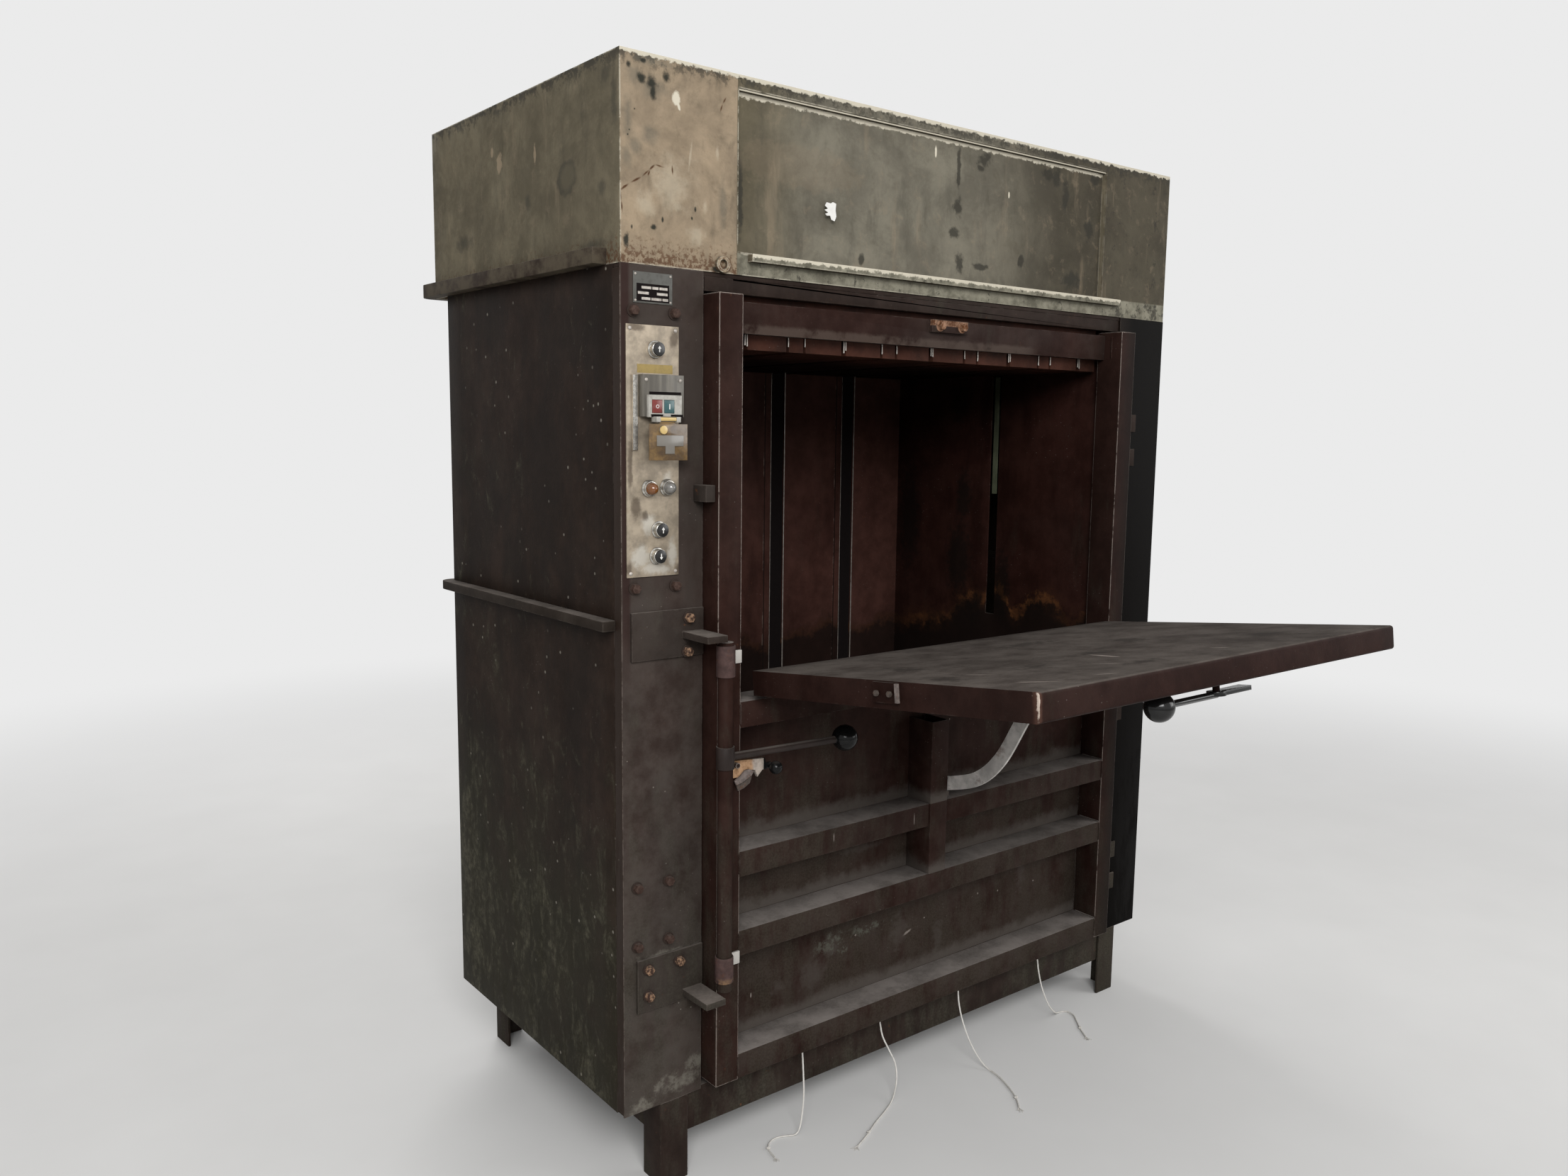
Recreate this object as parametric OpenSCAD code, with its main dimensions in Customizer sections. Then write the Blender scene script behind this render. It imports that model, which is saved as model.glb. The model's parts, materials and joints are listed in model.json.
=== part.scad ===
// Upright baling press: a steel box on four legs, with a full-height door, a feed flap that hangs
// open on the door, a lock rod, a push-button panel and a hydraulic platen inside.
// x = 0 is the middle, z = 0 is the floor. Modules measure y from the front face of the pillars,
// and placed() moves the finished piece so that y = 0 is the middle of the whole depth.

/* [Body] */
// Width over the side panels
body_w = 1504; // [1300:4:1700]
// Depth from the pillar fronts to the rear panel
body_d = 702; // [640:2:800]
// Height of the body from its underside to the hood
body_h = 1500; // [1480:4:1640]
// Height of the body's underside above the floor
body_z = 163; // [120:1:220]
// Thickness of the outer sheet
sheet = 3; // [2:0.5:4]
// Width of the front pillars
pillar_w = 167; // [160:1:180]
// Width of the narrow fold along a pillar's outer edge
pillar_fold = 24; // [16:1:40]
// Thickness of the base plate
base_t = 6; // [4:1:10]
// Thickness of the deck that carries the hydraulic unit
deck_t = 8; // [5:1:12]

/* [Legs and base beams] */
// Side of the leg angle iron
leg_side = 60; // [45:1:80]
// Thickness of the leg angle iron
leg_t = 6; // [4:1:8]
// Distance of a leg's outer face from the body's side
leg_inset = 77; // [40:1:120]
// Height of the base beams
beam_h = 75; // [50:1:100]
// Thickness of the base beams
beam_t = 6; // [4:1:8]

/* [Bumper rails] */
// How far the rails stand out from the body and the hood
rail_out = 25; // [15:1:40]
// Height of the middle rail's underside above the floor
mid_rail_z = 1048; // [900:1:1200]
// Height of the middle rail's section
mid_rail_h = 18; // [12:1:30]
// Height of the upper rail's section
top_rail_h = 27; // [16:1:36]
// Distance of the middle rail's ends behind the pillar fronts
mid_rail_start = 20; // [10:1:60]
// Distance of the upper rail's ends behind the pillar fronts
top_rail_start = 45; // [10:1:80]

/* [Hood] */
// Set-back of the hood's sides from the body's sides
hood_inset = 2; // [0:0.5:6]
// Depth of the hood
hood_d = 768; // [710:2:860]
// Height of the hood
hood_h = 337; // [300:1:400]
// Width of the hood's corner panels
hood_side_w = 238; // [180:1:280]
// Set-back of the middle cover
cover_recess = 13; // [6:1:20]
// Height of the band under the middle cover
hood_band_h = 37; // [30:1:60]
// Height of the rim above the middle cover
hood_rim_h = 22; // [12:1:40]
// Length of the front rail past the cover, each side
front_rail_over = 15; // [0:1:30]
// Section of the front rail, out from the hood
front_rail_out = 16; // [10:1:24]
// Section of the front rail, height
front_rail_h = 14; // [8:1:20]

/* [Chamber] */
// Distance of a chamber wall inside the pillar's inner face
chamber_in = 40; // [38:0.5:60]
// Thickness of the chamber walls
wall_t = 4; // [3:0.5:6]
// Distance of the chamber's front edge behind the pillar fronts
chamber_front = 24; // [24:0.5:30]
// Gap between the chamber's rear wall and the rear panel
rear_gap = 5; // [3:1:20]
// Width of the guide slot in each side wall
guide_slot = 28; // [24:1:40]
// Width of a twine slot in the rear wall
twine_slot = 42; // [30:1:50]
// Distance of the inner twine slots from the middle
twine_x1 = 118; // [90:1:150]
// Distance of the outer twine slots from the middle
twine_x2 = 355; // [300:1:400]

/* [Press] */
// Side clearance of the platen in the chamber
platen_gap = 10; // [5:1:20]
// Clearance of the platen at the front and back
platen_end_gap = 6; // [4:1:12]
// Height of the platen
platen_h = 100; // [70:1:110]
// Plate thickness of the platen
platen_t = 12; // [8:1:16]
// Gap between the platen and the deck above it
platen_top_gap = 18; // [10:1:40]
// Width of a cut for twine in the platen
platen_cut = 40; // [30:1:46]
// Width of the narrow slits in the platen's front
platen_slit = 6; // [4:1:10]
// Distance of the outer slits from the platen's ends
platen_slit_edge = 61; // [50:1:90]
// Height of the arms that carry the platen
arm_h = 40; // [30:1:60]
// Clearance of an arm in its guide slot, each side
arm_gap = 3; // [1.5:0.5:5]
// Outer diameter of a press cylinder
barrel_d = 80; // [70:1:100]
// Bore of a press cylinder
barrel_bore = 60; // [50:1:66]
// Length of a press cylinder
barrel_l = 730; // [700:1:760]
// Diameter of a piston rod
piston_rod_d = 36; // [30:1:40]
// Thickness of a piston
piston_h = 40; // [30:1:50]
// Distance of a cylinder's axis outside the chamber wall
barrel_out = 101; // [60:1:102]

/* [Hydraulic unit] */
// Length of the oil tank
tank_l = 420; // [300:5:500]
// Width of the oil tank
tank_w = 300; // [200:5:360]
// Height of the oil tank
tank_h = 190; // [120:5:240]
// Diameter of the motor
motor_d = 170; // [120:2:200]
// Length of the motor
motor_l = 280; // [200:5:340]
// Diameter of the pump
pump_d = 110; // [80:2:140]
// Length of the pump
pump_l = 130; // [90:5:180]
// Diameter of the oil pipes
pipe_d = 12; // [8:1:16]

/* [Door] */
// Gap between the door and a pillar
door_gap = 2; // [1:0.5:4]
// Width of a door stile
stile_w = 50; // [40:1:60]
// How far the door stands out from the pillars
door_proud = 45; // [30:1:60]
// Distance of the door sheet behind the pillar fronts
door_back = 20; // [10:0.5:20]
// Wall thickness of the door's tubes
tube_t = 3; // [2:0.5:5]
// Height of the door's bottom edge above the floor
door_z = 185; // [180:1:230]
// Distance of the door's top below the hood
door_drop = 38; // [38:1:50]
// Height of a door rib
rib_h = 48; // [36:1:60]
// Height of the lower rib's top above the floor
rib_1_top = 234; // [234:1:250]
// Height of the second rib's top above the floor
rib_2_top = 475; // [420:1:500]
// Height of the third rib's top above the floor
rib_3_top = 627; // [600:1:650]
// Distance of the top rail's top below the flap's hinge axis
rib_4_drop = 10; // [9:1:30]
// Height of the header between the stile tops
header_h = 55; // [40:1:60]
// Distance of the header's top below the door's top
header_drop = 7; // [4:1:20]
// Width of the stay's guide channel
channel_w = 49; // [36:1:60]
// Distance of the guide channel's right side from the middle
channel_right = 5; // [0:0.5:6]
// Distance of the guide channel's top below the top rail's top
channel_drop = 107; // [90:1:150]

/* [Door hinges] */
// Distance of the hinge axis from the door's edge
hinge_out = 14; // [13:0.5:16]
// Distance of the hinge axis in front of the pillars
hinge_fore = 13; // [12.5:0.5:16]
// Diameter of the hinge barrel
hinge_d = 20; // [18:0.5:21]
// Diameter of the hinge pin
hinge_pin_d = 12; // [8:0.5:14]
// Height of one hinge knuckle
knuckle_h = 40; // [30:1:50]
// Heights of the hinges above the floor
hinge_z1 = 330; // [300:1:420]
// Height of the middle hinge above the floor
hinge_z2 = 760; // [700:1:840]
// Distance of the upper hinge below the door's top
hinge_drop = 245; // [200:1:300]

/* [Feed flap] */
// Gap between the flap and a door stile
flap_gap = 21; // [12:1:40]
// How far the closed flap laps over the door's header
flap_lap = 24; // [10:1:30]
// Thickness of the flap
flap_t = 45; // [30:1:46]
// Upward tilt of the open flap, in degrees
flap_tilt = 6.8; // [5:0.1:9]
// Distance of the flap's hinge axis below the top of the body
flap_drop = 746; // [733:0.5:746]
// Radius of the flap's long edges
flap_edge_r = 6; // [3:0.5:12]
// Wall thickness of the flap
flap_wall = 3; // [2:0.5:5]
// Diameter of the flap hinge's barrel
flap_barrel_d = 18; // [14:0.5:19]
// Diameter of the flap hinge's pin
flap_pin_d = 10; // [6:0.5:11]
// Distance of the flap's outer hinges from the middle
flap_hinge_x = 400; // [300:1:420]
// Distance of the side bracket from the flap's hinge axis
flap_bracket_s = 336; // [250:1:420]

/* [Stay bar] */
// Distance of the stay's pivot from the flap's hinge axis
stay_s = 240; // [225:1:250]
// Drop of the stay's pivot below the flap
stay_drop = 30; // [26:1:32]
// Width of the stay bar
stay_w = 25; // [20:1:28]
// Thickness of the stay bar
stay_t = 6; // [4:0.5:8]
// Gap between the stay bar and its guide channel
stay_gap = 3; // [2:0.5:6]

/* [Flap latch] */
// Diameter of the latch's ball knob
latch_ball_d = 50; // [40:1:50]
// Distance of the latch's pivot behind the flap's front edge
latch_back = 64; // [45:1:90]
// Distance of the latch's pivot from the middle
latch_x = 15; // [0:1:40]
// Length of the latch's handle to its ball
latch_arm = 162; // [120:1:200]
// Length of the latch's tongue
latch_tongue = 88; // [70:1:94]
// Width of the latch bar
latch_w = 24; // [18:1:30]
// Thickness of the latch bar
latch_t = 8; // [5:0.5:10]

/* [Door lock] */
// Diameter of the lock rod
lock_rod_d = 28; // [22:0.5:30]
// Distance of the lock rod's axis from the door's left edge
lock_in = 5; // [3:0.5:9]
// Outer diameter of the lock rod's bushes
bush_d = 34; // [32:0.5:36]
// Gap between the lock rod's ends and the keeper bars
lock_gap = 4; // [2:0.5:8]
// Height of the lock lever up the lock rod, as a share of the rod's length
lever_share = 0.6765; // [0.66:0.0005:0.7]
// Length of the lock lever to its ball
lever_l = 266; // [200:1:320]
// Diameter of the lock lever
lever_d = 14; // [10:0.5:16]
// Diameter of the lock lever's ball knob
lever_ball_d = 50; // [40:1:54]
// Diameter of the safety catch's ball knob
catch_ball_d = 25; // [18:1:26]
// Thickness of the safety catch
catch_t = 6; // [4:0.5:7]
// Length of the keeper bars out from the pillar
keeper_reach = 85; // [60:1:100]
// Distance of the upper keeper bar below the control plate
keeper_drop = 113; // [105:1:120]
// Height of the lower keeper bar above the floor
keeper_low_z = 365; // [350:1:366]
// Thickness of the keeper bars
keeper_t = 12; // [8:1:12]

/* [Control panel] */
// Width of the control plate
panel_w = 104; // [96:1:110]
// Height of the control plate
panel_h = 424; // [420:1:440]
// Distance of the control plate's top below the hood
panel_drop = 98; // [94:1:110]
// Distance of the control plate's middle from the machine's side
panel_in = 62; // [56:1:72]
// Thickness of the control plate
panel_t = 3; // [2:0.5:4]
// Diameter of a push button's bezel
bezel_d = 30; // [28:0.5:34]
// How far a bezel stands out
bezel_out = 13; // [12:0.5:16]
// Diameter of a push button's cap
cap_d = 22; // [18:0.5:24]
// Travel of the push buttons
button_travel = 3; // [1.5:0.5:4]
// Depth of the switch housing
housing_depth = 14; // [13:1:20]
// Width of the switch housing
housing_w = 82; // [74:1:90]
// Height of the switch housing
housing_h = 70; // [60:1:74]
// Length of the switch cover
cover_l = 69; // [50:1:70]

/* [Twine] */
// Diameter of the twine
twine_d = 3.5; // [3:0.1:4]

/* [Hidden] */
$fn = 64;
running_fit = 0.05; // radial clearance of every turning or sliding pin
loose_fit = 0.3; // clearance between pieces that only pass each other
over = 1; // how far a cutting shape runs past the face that it cuts

// Heights and half widths that follow from the sizes above
body_x = body_w / 2;
body_top = body_z + body_h;
total_h = body_top + hood_h;
pillar_in = body_x - pillar_w;
hood_x = body_x - hood_inset;
rail_back = hood_d + rail_out;
chamber_x = pillar_in - chamber_in;
base_top = body_z + base_t;
deck_z = body_top - deck_t;
chamber_back = body_d - sheet - rear_gap - wall_t;
mid_rail_top = mid_rail_z + mid_rail_h;
front_rail_shift = 35;

// The door stands between the pillars; its tubes run from door_proud in front to door_back behind
door_x = pillar_in - door_gap;
stile_in = door_x - stile_w;
door_top = body_top - door_drop;
header_z = door_top - header_drop - header_h;
sheet_y = door_back + tube_t;
channel_left = channel_right - channel_w;
flap_hinge_z = body_top - flap_drop;
rib_4_top = flap_hinge_z - rib_4_drop;
channel_top = rib_4_top - channel_drop;
rib_tops = [rib_1_top, rib_2_top, rib_3_top, rib_4_top];
hinge_zs = [hinge_z1, hinge_z2, door_top - hinge_drop];
hinge_x = door_x + hinge_out;
leaf_w = 60; // a hinge leaf, from the pin's middle
leaf_t = 4;

// The flap is drawn level, with s out from its hinge axis and t up, then tilted
flap_x = stile_in - flap_gap;
flap_len = header_z + flap_lap - flap_hinge_z;
latch_s = flap_len - latch_back;
flap_start = flap_barrel_d / 2 + 3;
flap_front_y = -door_proud - (flap_len - flap_edge_r) * cos(flap_tilt) + flap_edge_r * sin(flap_tilt)
    - flap_edge_r;
flap_hinge_xs = [-flap_hinge_x, flap_hinge_x];
flap_bracket_l = 58;
flap_bracket_t = 4;
mid_y = (rail_back + flap_front_y) / 2;

// The stay's pivot on the open flap, in y and z, and the bar's own bends below it
stay_pivot = [-door_proud - stay_s * cos(flap_tilt) - stay_drop * sin(flap_tilt),
    flap_hinge_z + stay_s * sin(flap_tilt) - stay_drop * cos(flap_tilt)];
stay_bends = [[0, 0], [46, -77], [102, -172], [164, -227], [254, -257]];
stay_x = channel_right + stay_gap;
latch_low = latch_t + 22; // the latch bar's underside below the flap
latch_rise = 2; // the handle's axis above that
latch_pin_d = 12;
stay_eye = 5; // how much wider than the bar its round ends are

// Lock on the left stile
lock_x = -door_x + lock_in;
lock_y = -door_proud - bush_d / 2;
keeper_up_z = body_top - panel_drop - panel_h - keeper_drop;
lock_top = keeper_up_z - lock_gap;
lock_bottom = keeper_low_z + keeper_t + lock_gap;
lever_z = lock_bottom + lever_share * (lock_top - lock_bottom);
catch_drop = 21; // from the lever's axis down to the catch's pin
lever_angle = -4;
bush_l = 56;
bush_up_z = lock_top - bush_l - 6;
bush_low_z = lock_bottom + 17;
catch_pin_x = -door_x + 35;
catch_pin_z = lever_z - catch_drop;
catch_pin_d = 10;
catch_stem = 22; // from the catch plate to the middle of its ball

// Control panel, on the left pillar
panel_x = body_x - panel_in;
panel_left = -panel_x - panel_w / 2;
panel_top = body_top - panel_drop;
panel_z = panel_top - panel_h;
panel_front = -panel_t;
button_places = [[4, panel_h - 40], [11, 80], [7, 35]];
lamp_places = [[-9, 151], [27, 152]];
switch_x = 12;
switch_z = panel_z + 272;
switch_face = panel_front - housing_depth;
switch_body_t = 6;
switch_button_w = 20;
switch_button_h = 22;
stop_x = -panel_x - 4;
start_x = -panel_x + 20;
cover_z = switch_z - 4;
cover_y = switch_face - switch_body_t - 6;
cover_pin_r = 2.5;
strip_w = 12;
strip_h = 128;

// Keepers on the left pillar
keeper_plate_t = 6;
plate_below = 33; // the upper keeper's plate, below and above its bar
plate_above = 52;
plate_in = 17;
latch_block_w = 20;
latch_block_h = 29;
keeper_bar = [-door_x - 49, -door_x - 7];
bolt_size = 17;
bolt_head = 9;
latch_block_z = panel_z + 127; // underside of the small block beside the door's stile

// Press: the platen hangs from two arms that pass through the side walls' slots
platen_x = chamber_x - platen_gap;
platen_front = chamber_front + platen_end_gap;
platen_back = chamber_back - platen_end_gap;
platen_top = deck_z - platen_top_gap;
platen_z = platen_top - platen_h;
platen_slit_step = (platen_x - platen_slit_edge) / 2;
platen_y = (chamber_front + chamber_back) / 2 - 21;
barrel_x = chamber_x + barrel_out;
barrel_z = base_top + 31;
barrel_cap = 20;
barrel_gland = 30;
twine_xs = [-twine_x2, -twine_x1, twine_x1, twine_x2];

// Routes of the four twine ends, from the chamber floor over the base plate's edge to the floor
twine_r = twine_d / 2;
twine_top = base_top + twine_r + loose_fit;
twine_low = twine_r + loose_fit;
twine_fall = -2 * twine_d;
function fall(x, bends) = concat([[x, 30, twine_top], [x, 3, twine_top], [x, -2.5, twine_top - 1.5],
    [x, twine_fall, twine_top - 7]], bends);
twine_route_1 = fall(-346, [[-347, -12, 130], [-351, -20, 80], [-358, -24, 40], [-366, -26, 14],
    [-376, -24, 4], [-392, -14, twine_low], [-412, -8, twine_low], [-432, -14, twine_low],
    [-446, -30, twine_low], [-453, -58, twine_low]]);
twine_route_2 = fall(-136, [[-132, -13, 130], [-118, -20, 96], [-106, -26, 66], [-108, -34, 36],
    [-126, -46, 12], [-150, -58, twine_low], [-184, -74, twine_low], [-221, -90, twine_low],
    [-256, -108, twine_low], [-300, -127, twine_low]]);
twine_route_3 = fall(101, [[102, -11, 130], [105, -22, 90], [110, -42, 48], [116, -68, 16],
    [121, -92, twine_low], [117, -120, twine_low], [108, -146, twine_low], [96, -174, twine_low],
    [80, -202, twine_low], [59, -228, twine_low]]);
twine_route_4 = fall(370, [[373, -11, 130], [382, -16, 88], [402, -20, 44], [430, -18, 14],
    [458, -10, twine_low], [476, -18, twine_low], [474, -40, twine_low], [456, -64, twine_low],
    [432, -94, twine_low], [412, -125, twine_low]]);

module placed() translate([0, -mid_y, 0]) children();
module block(x0, x1, y0, y1, z0, z1) translate([x0, y0, z0]) cube([x1 - x0, y1 - y0, z1 - z0]);
module bar_x(x0, x1, y, z, d) translate([x0, y, z]) rotate([0, 90, 0]) cylinder(d = d, h = x1 - x0);
module bar_y(x, y0, y1, z, d) translate([x, y1, z]) rotate([90, 0, 0]) cylinder(d = d, h = y1 - y0);
module bar_z(x, y, z0, z1, d) translate([x, y, z0]) cylinder(d = d, h = z1 - z0);
module both_sides() {
    children();
    mirror([1, 0, 0]) children();
}

// A hexagon bolt head on a washer, seated on the plane y and facing forward
module bolt(x, y, z) {
    translate([x, y, z]) rotate([90, 0, 0]) cylinder(d = bolt_size + 5, h = 2);
    translate([x, y - 2, z]) rotate([90, 0, 0]) cylinder(d = bolt_size, h = bolt_head, $fn = 6);
}

// A ball knob turned in one piece with its stem, which runs along x from 0 to the ball's middle
module knob(stem_d, stem_l, ball_d) rotate([0, 90, 0]) rotate_extrude() intersection() {
    union() {
        translate([0, 0]) square([stem_d / 2, stem_l]);
        translate([0, stem_l]) circle(d = ball_d);
    }
    square([ball_d, stem_l + ball_d]);
}

// Feet and base
module leg(side, y0, dir) translate([side * (body_x - leg_inset), y0, 0])
    scale([-side, dir, 1]) difference() {
        cube([leg_side, leg_side, body_z]);
        translate([leg_t, leg_t, -over]) cube([leg_side, leg_side, body_z + 2 * over]);
    }
rear_leg_y = body_d - 2;
module leg_front_left() placed() color([0.2, 0.08, 0.09]) leg(-1, 0, 1);
module leg_front_right() placed() color([0.2, 0.08, 0.09]) leg(1, 0, 1);
module leg_rear_left() placed() color([0.2, 0.08, 0.09]) leg(-1, rear_leg_y, -1);
module leg_rear_right() placed() color([0.2, 0.08, 0.09]) leg(1, rear_leg_y, -1);

module base_beams() placed() color([0.2, 0.09, 0.1]) {
    x1 = body_x - leg_inset - leg_side;
    y0 = leg_side;
    y1 = rear_leg_y - leg_side;
    z0 = body_z - beam_h;
    block(-x1, x1, leg_t, leg_t + beam_t, z0, body_z);
    block(-x1, x1, rear_leg_y - leg_t - beam_t, rear_leg_y - leg_t, z0, body_z);
    both_sides() block(body_x - leg_inset - leg_t - beam_t, body_x - leg_inset - leg_t, y0, y1, z0, body_z);
}

module base_plate() placed() color([0.22, 0.12, 0.12])
    block(-body_x + sheet, body_x - sheet, sheet, body_d - sheet, body_z, base_top);

// Outer body
module pillar() {
    wide = body_x - pillar_in;
    translate([pillar_in, 0, body_z]) {
        cube([wide, sheet, body_h]);
        for (fold = [[0, chamber_front + wall_t], [wide - sheet, pillar_fold]])
            translate([fold[0], 0, base_t]) cube([sheet, fold[1], body_h - base_t - deck_t]);
    }
}
module pillar_left() placed() color([0.26, 0.11, 0.12]) mirror([1, 0, 0]) pillar();
module pillar_right() placed() color([0.26, 0.11, 0.12]) pillar();

module side_panel(z0, z1) {
    block(body_x - sheet, body_x, pillar_fold, body_d, z0, z1);
    block(body_x - pillar_fold, body_x, body_d - sheet, body_d, z0, z1);
}
module left_lower_panel() placed() color([0.24, 0.1, 0.11]) mirror([1, 0, 0])
    side_panel(body_z, mid_rail_z);
module left_upper_panel() placed() color([0.24, 0.1, 0.11]) mirror([1, 0, 0])
    side_panel(mid_rail_top, body_top);
module right_lower_panel() placed() color([0.24, 0.1, 0.11]) side_panel(body_z, mid_rail_z);
module right_upper_panel() placed() color([0.24, 0.1, 0.11]) side_panel(mid_rail_top, body_top);

module rear_panel() placed() color([0.22, 0.1, 0.1]) {
    x1 = body_x - pillar_fold;
    block(-x1, x1, body_d - sheet, body_d, body_z, mid_rail_z);
    block(-x1, x1, body_d - sheet, body_d, mid_rail_top, body_top);
    block(-x1, x1, body_d - 2 * sheet, body_d - sheet, mid_rail_z - 30, mid_rail_top + 30);
}

// A rail bent in a U round both sides and the back, with round rear corners
module u_shape(x, y0, y1, r) {
    translate([-x, y0]) square([2 * x, y1 - r - y0]);
    translate([-x + r, y0]) square([2 * (x - r), y1 - y0]);
    for (side = [-1, 1]) translate([side * (x - r), y1 - r]) circle(r);
}
module bumper(x, y0, y1, z0, h, inside) translate([0, 0, z0]) linear_extrude(h) difference() {
    u_shape(x + rail_out, y0, y1 + rail_out, rail_out + 5);
    translate([0, -over]) u_shape(x - inside, y0 - over, y1 - inside + over, 5);
}
module middle_rail() placed() color([0.21, 0.14, 0.13]) difference() {
    bumper(body_x, mid_rail_start, body_d, mid_rail_z, mid_rail_h, sheet);
    block(-body_x, body_x, 0, pillar_fold, mid_rail_z - over, mid_rail_top + over);
}
module upper_rail() placed() color([0.2, 0.13, 0.12]) difference() {
    bumper(body_x, top_rail_start, hood_d, body_top, top_rail_h, body_x - hood_x);
    block(-hood_x, hood_x, 0, hood_d, body_top - over, body_top + top_rail_h + over);
}

// Chamber walls, with the arms' guide slots and the slots for the twine
module chamber_wall() {
    z1 = deck_z;
    difference() {
        block(chamber_x, chamber_x + wall_t, chamber_front, chamber_back + wall_t, base_top, z1);
        block(chamber_x - over, chamber_x + wall_t + over, platen_y - guide_slot / 2,
            platen_y + guide_slot / 2, barrel_z + barrel_l, z1 + over);
    }
    block(chamber_x + wall_t, pillar_in, chamber_front, chamber_front + wall_t, base_top, z1);
}
module chamber_left_wall() placed() color([0.33, 0.18, 0.15]) mirror([1, 0, 0]) chamber_wall();
module chamber_right_wall() placed() color([0.33, 0.18, 0.15]) chamber_wall();
module chamber_rear_wall() placed() color([0.3, 0.16, 0.14]) difference() {
    block(-chamber_x, chamber_x, chamber_back, chamber_back + wall_t, base_top, deck_z);
    for (x = twine_xs) block(x - twine_slot / 2, x + twine_slot / 2, chamber_back - over,
        chamber_back + wall_t + over, base_top + 60, deck_z - 40);
}

// Cross piece over the door, and the deck above the chamber
module lintel() placed() color([0.14, 0.16, 0.12]) {
    block(-pillar_in, pillar_in, door_back - 16, chamber_front, door_top + 5, deck_z);
    block(-door_x, -door_x + 61, 0, door_back - 16, door_top + 5, deck_z - loose_fit);
}
module deck() placed() color([0.2, 0.12, 0.12])
    block(-body_x + sheet, body_x - sheet, sheet, body_d - sheet, deck_z, body_top);

// Hood: a sheet shell that is open below, with two corner panels and a set-back middle cover
module hood_shell() placed() color([0.55, 0.53, 0.45]) difference() {
    block(-hood_x, hood_x, 0, hood_d, body_top, total_h);
    block(-hood_x + sheet, hood_x - sheet, sheet, hood_d - sheet, body_top - over, total_h - sheet);
    block(-hood_x + hood_side_w, hood_x - hood_side_w, -over, sheet + over, body_top + hood_band_h,
        total_h - hood_rim_h);
}
module hood_cover() placed() color([0.5, 0.5, 0.43]) {
    x1 = hood_x - hood_side_w;
    z0 = body_top + hood_band_h;
    z1 = total_h - hood_rim_h;
    block(-x1, x1, cover_recess, cover_recess + sheet, z0, z1);
    both_sides() block(x1, x1 + sheet, sheet, cover_recess + sheet, z0, z1);
    block(-x1, x1, sheet, cover_recess, z1 - sheet, z1);
    block(-x1, x1, sheet, cover_recess, z0, z0 + sheet);
}
module hood_front_rail() placed() color([0.45, 0.44, 0.37]) {
    x1 = hood_x - hood_side_w + front_rail_over;
    z1 = body_top + hood_band_h;
    block(-x1 + front_rail_shift, x1 + front_rail_shift, -front_rail_out, 0, z1 - front_rail_h, z1);
    difference() {
        bar_y(lock_x + 30, -8, 0, body_top + 14, 28);
        bar_y(lock_x + 30, -8 - over, over, body_top + 14, 16);
    }
}

// Hydraulic unit on the deck
tank_left = -hood_x + 150;
tank_y = 380;
module oil_tank() placed() color([0.25, 0.3, 0.25]) {
    x1 = tank_left + tank_l;
    y0 = tank_y - tank_w / 2;
    y1 = tank_y + tank_w / 2;
    z1 = body_top + tank_h;
    difference() {
        union() {
            block(tank_left, x1, y0, y1, body_top, z1);
            bar_z(tank_left + 60, tank_y, z1, z1 + 30, 60);
        }
        block(tank_left + sheet, x1 - sheet, y0 + sheet, y1 - sheet, body_top + sheet, z1 - sheet);
        bar_z(tank_left + 60, tank_y, z1 - 2 * sheet, z1 + 30 + over, 50);
    }
}
pump_lift = 60;
foot_in = 40; // the motor's foot, in from both of its ends
terminal_l = 90;
pump_z = body_top + pump_lift + motor_d / 2;
pump_start = tank_left + tank_l + 30;
module pump_motor() placed() color([0.3, 0.33, 0.36]) {
    x0 = pump_start + pump_l;
    bar_x(x0, x0 + motor_l, tank_y, pump_z, motor_d);
    block(x0 + foot_in, x0 + motor_l - foot_in, tank_y - motor_d / 2, tank_y + motor_d / 2,
        body_top, pump_z - motor_d / 2 + 12);
    block(x0 + 1.5 * foot_in, x0 + 1.5 * foot_in + terminal_l,
        tank_y - terminal_l / 2, tank_y + terminal_l / 2,
        pump_z + motor_d / 2 - 10, pump_z + motor_d / 2 + 45);
}
valve_in = 190;
valve_x = hood_x - valve_in;
valve_l = 80;
valve_w = 120;
valve_h = 90;
pipe_out = 60; // the pipe's line in front of the pump and below its axis
pipe_drop = 40;
suction_d = 30;
riser_w = 25;
module pump() placed() color([0.4, 0.4, 0.4]) {
    bar_x(pump_start, pump_start + pump_l, tank_y, pump_z, pump_d);
    bar_x(tank_left + tank_l, pump_start + 5, tank_y, pump_z, suction_d);
    block(valve_x, valve_x + valve_l, tank_y - valve_w / 2, tank_y + valve_w / 2,
        body_top, body_top + valve_h);
    pipe_y = tank_y - pump_d / 2 - pipe_out;
    bar_x(pump_start + pipe_drop, valve_x + 5, pipe_y, pump_z - pipe_drop, pipe_d);
    bar_y(pump_start + pipe_drop + 6, pipe_y, tank_y - 20, pump_z - pipe_drop, pipe_d);
    block(valve_x, valve_x + riser_w + 5, pipe_y - 15, tank_y - valve_w / 2 + 10,
        body_top, pump_z - riser_w);
}

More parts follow.
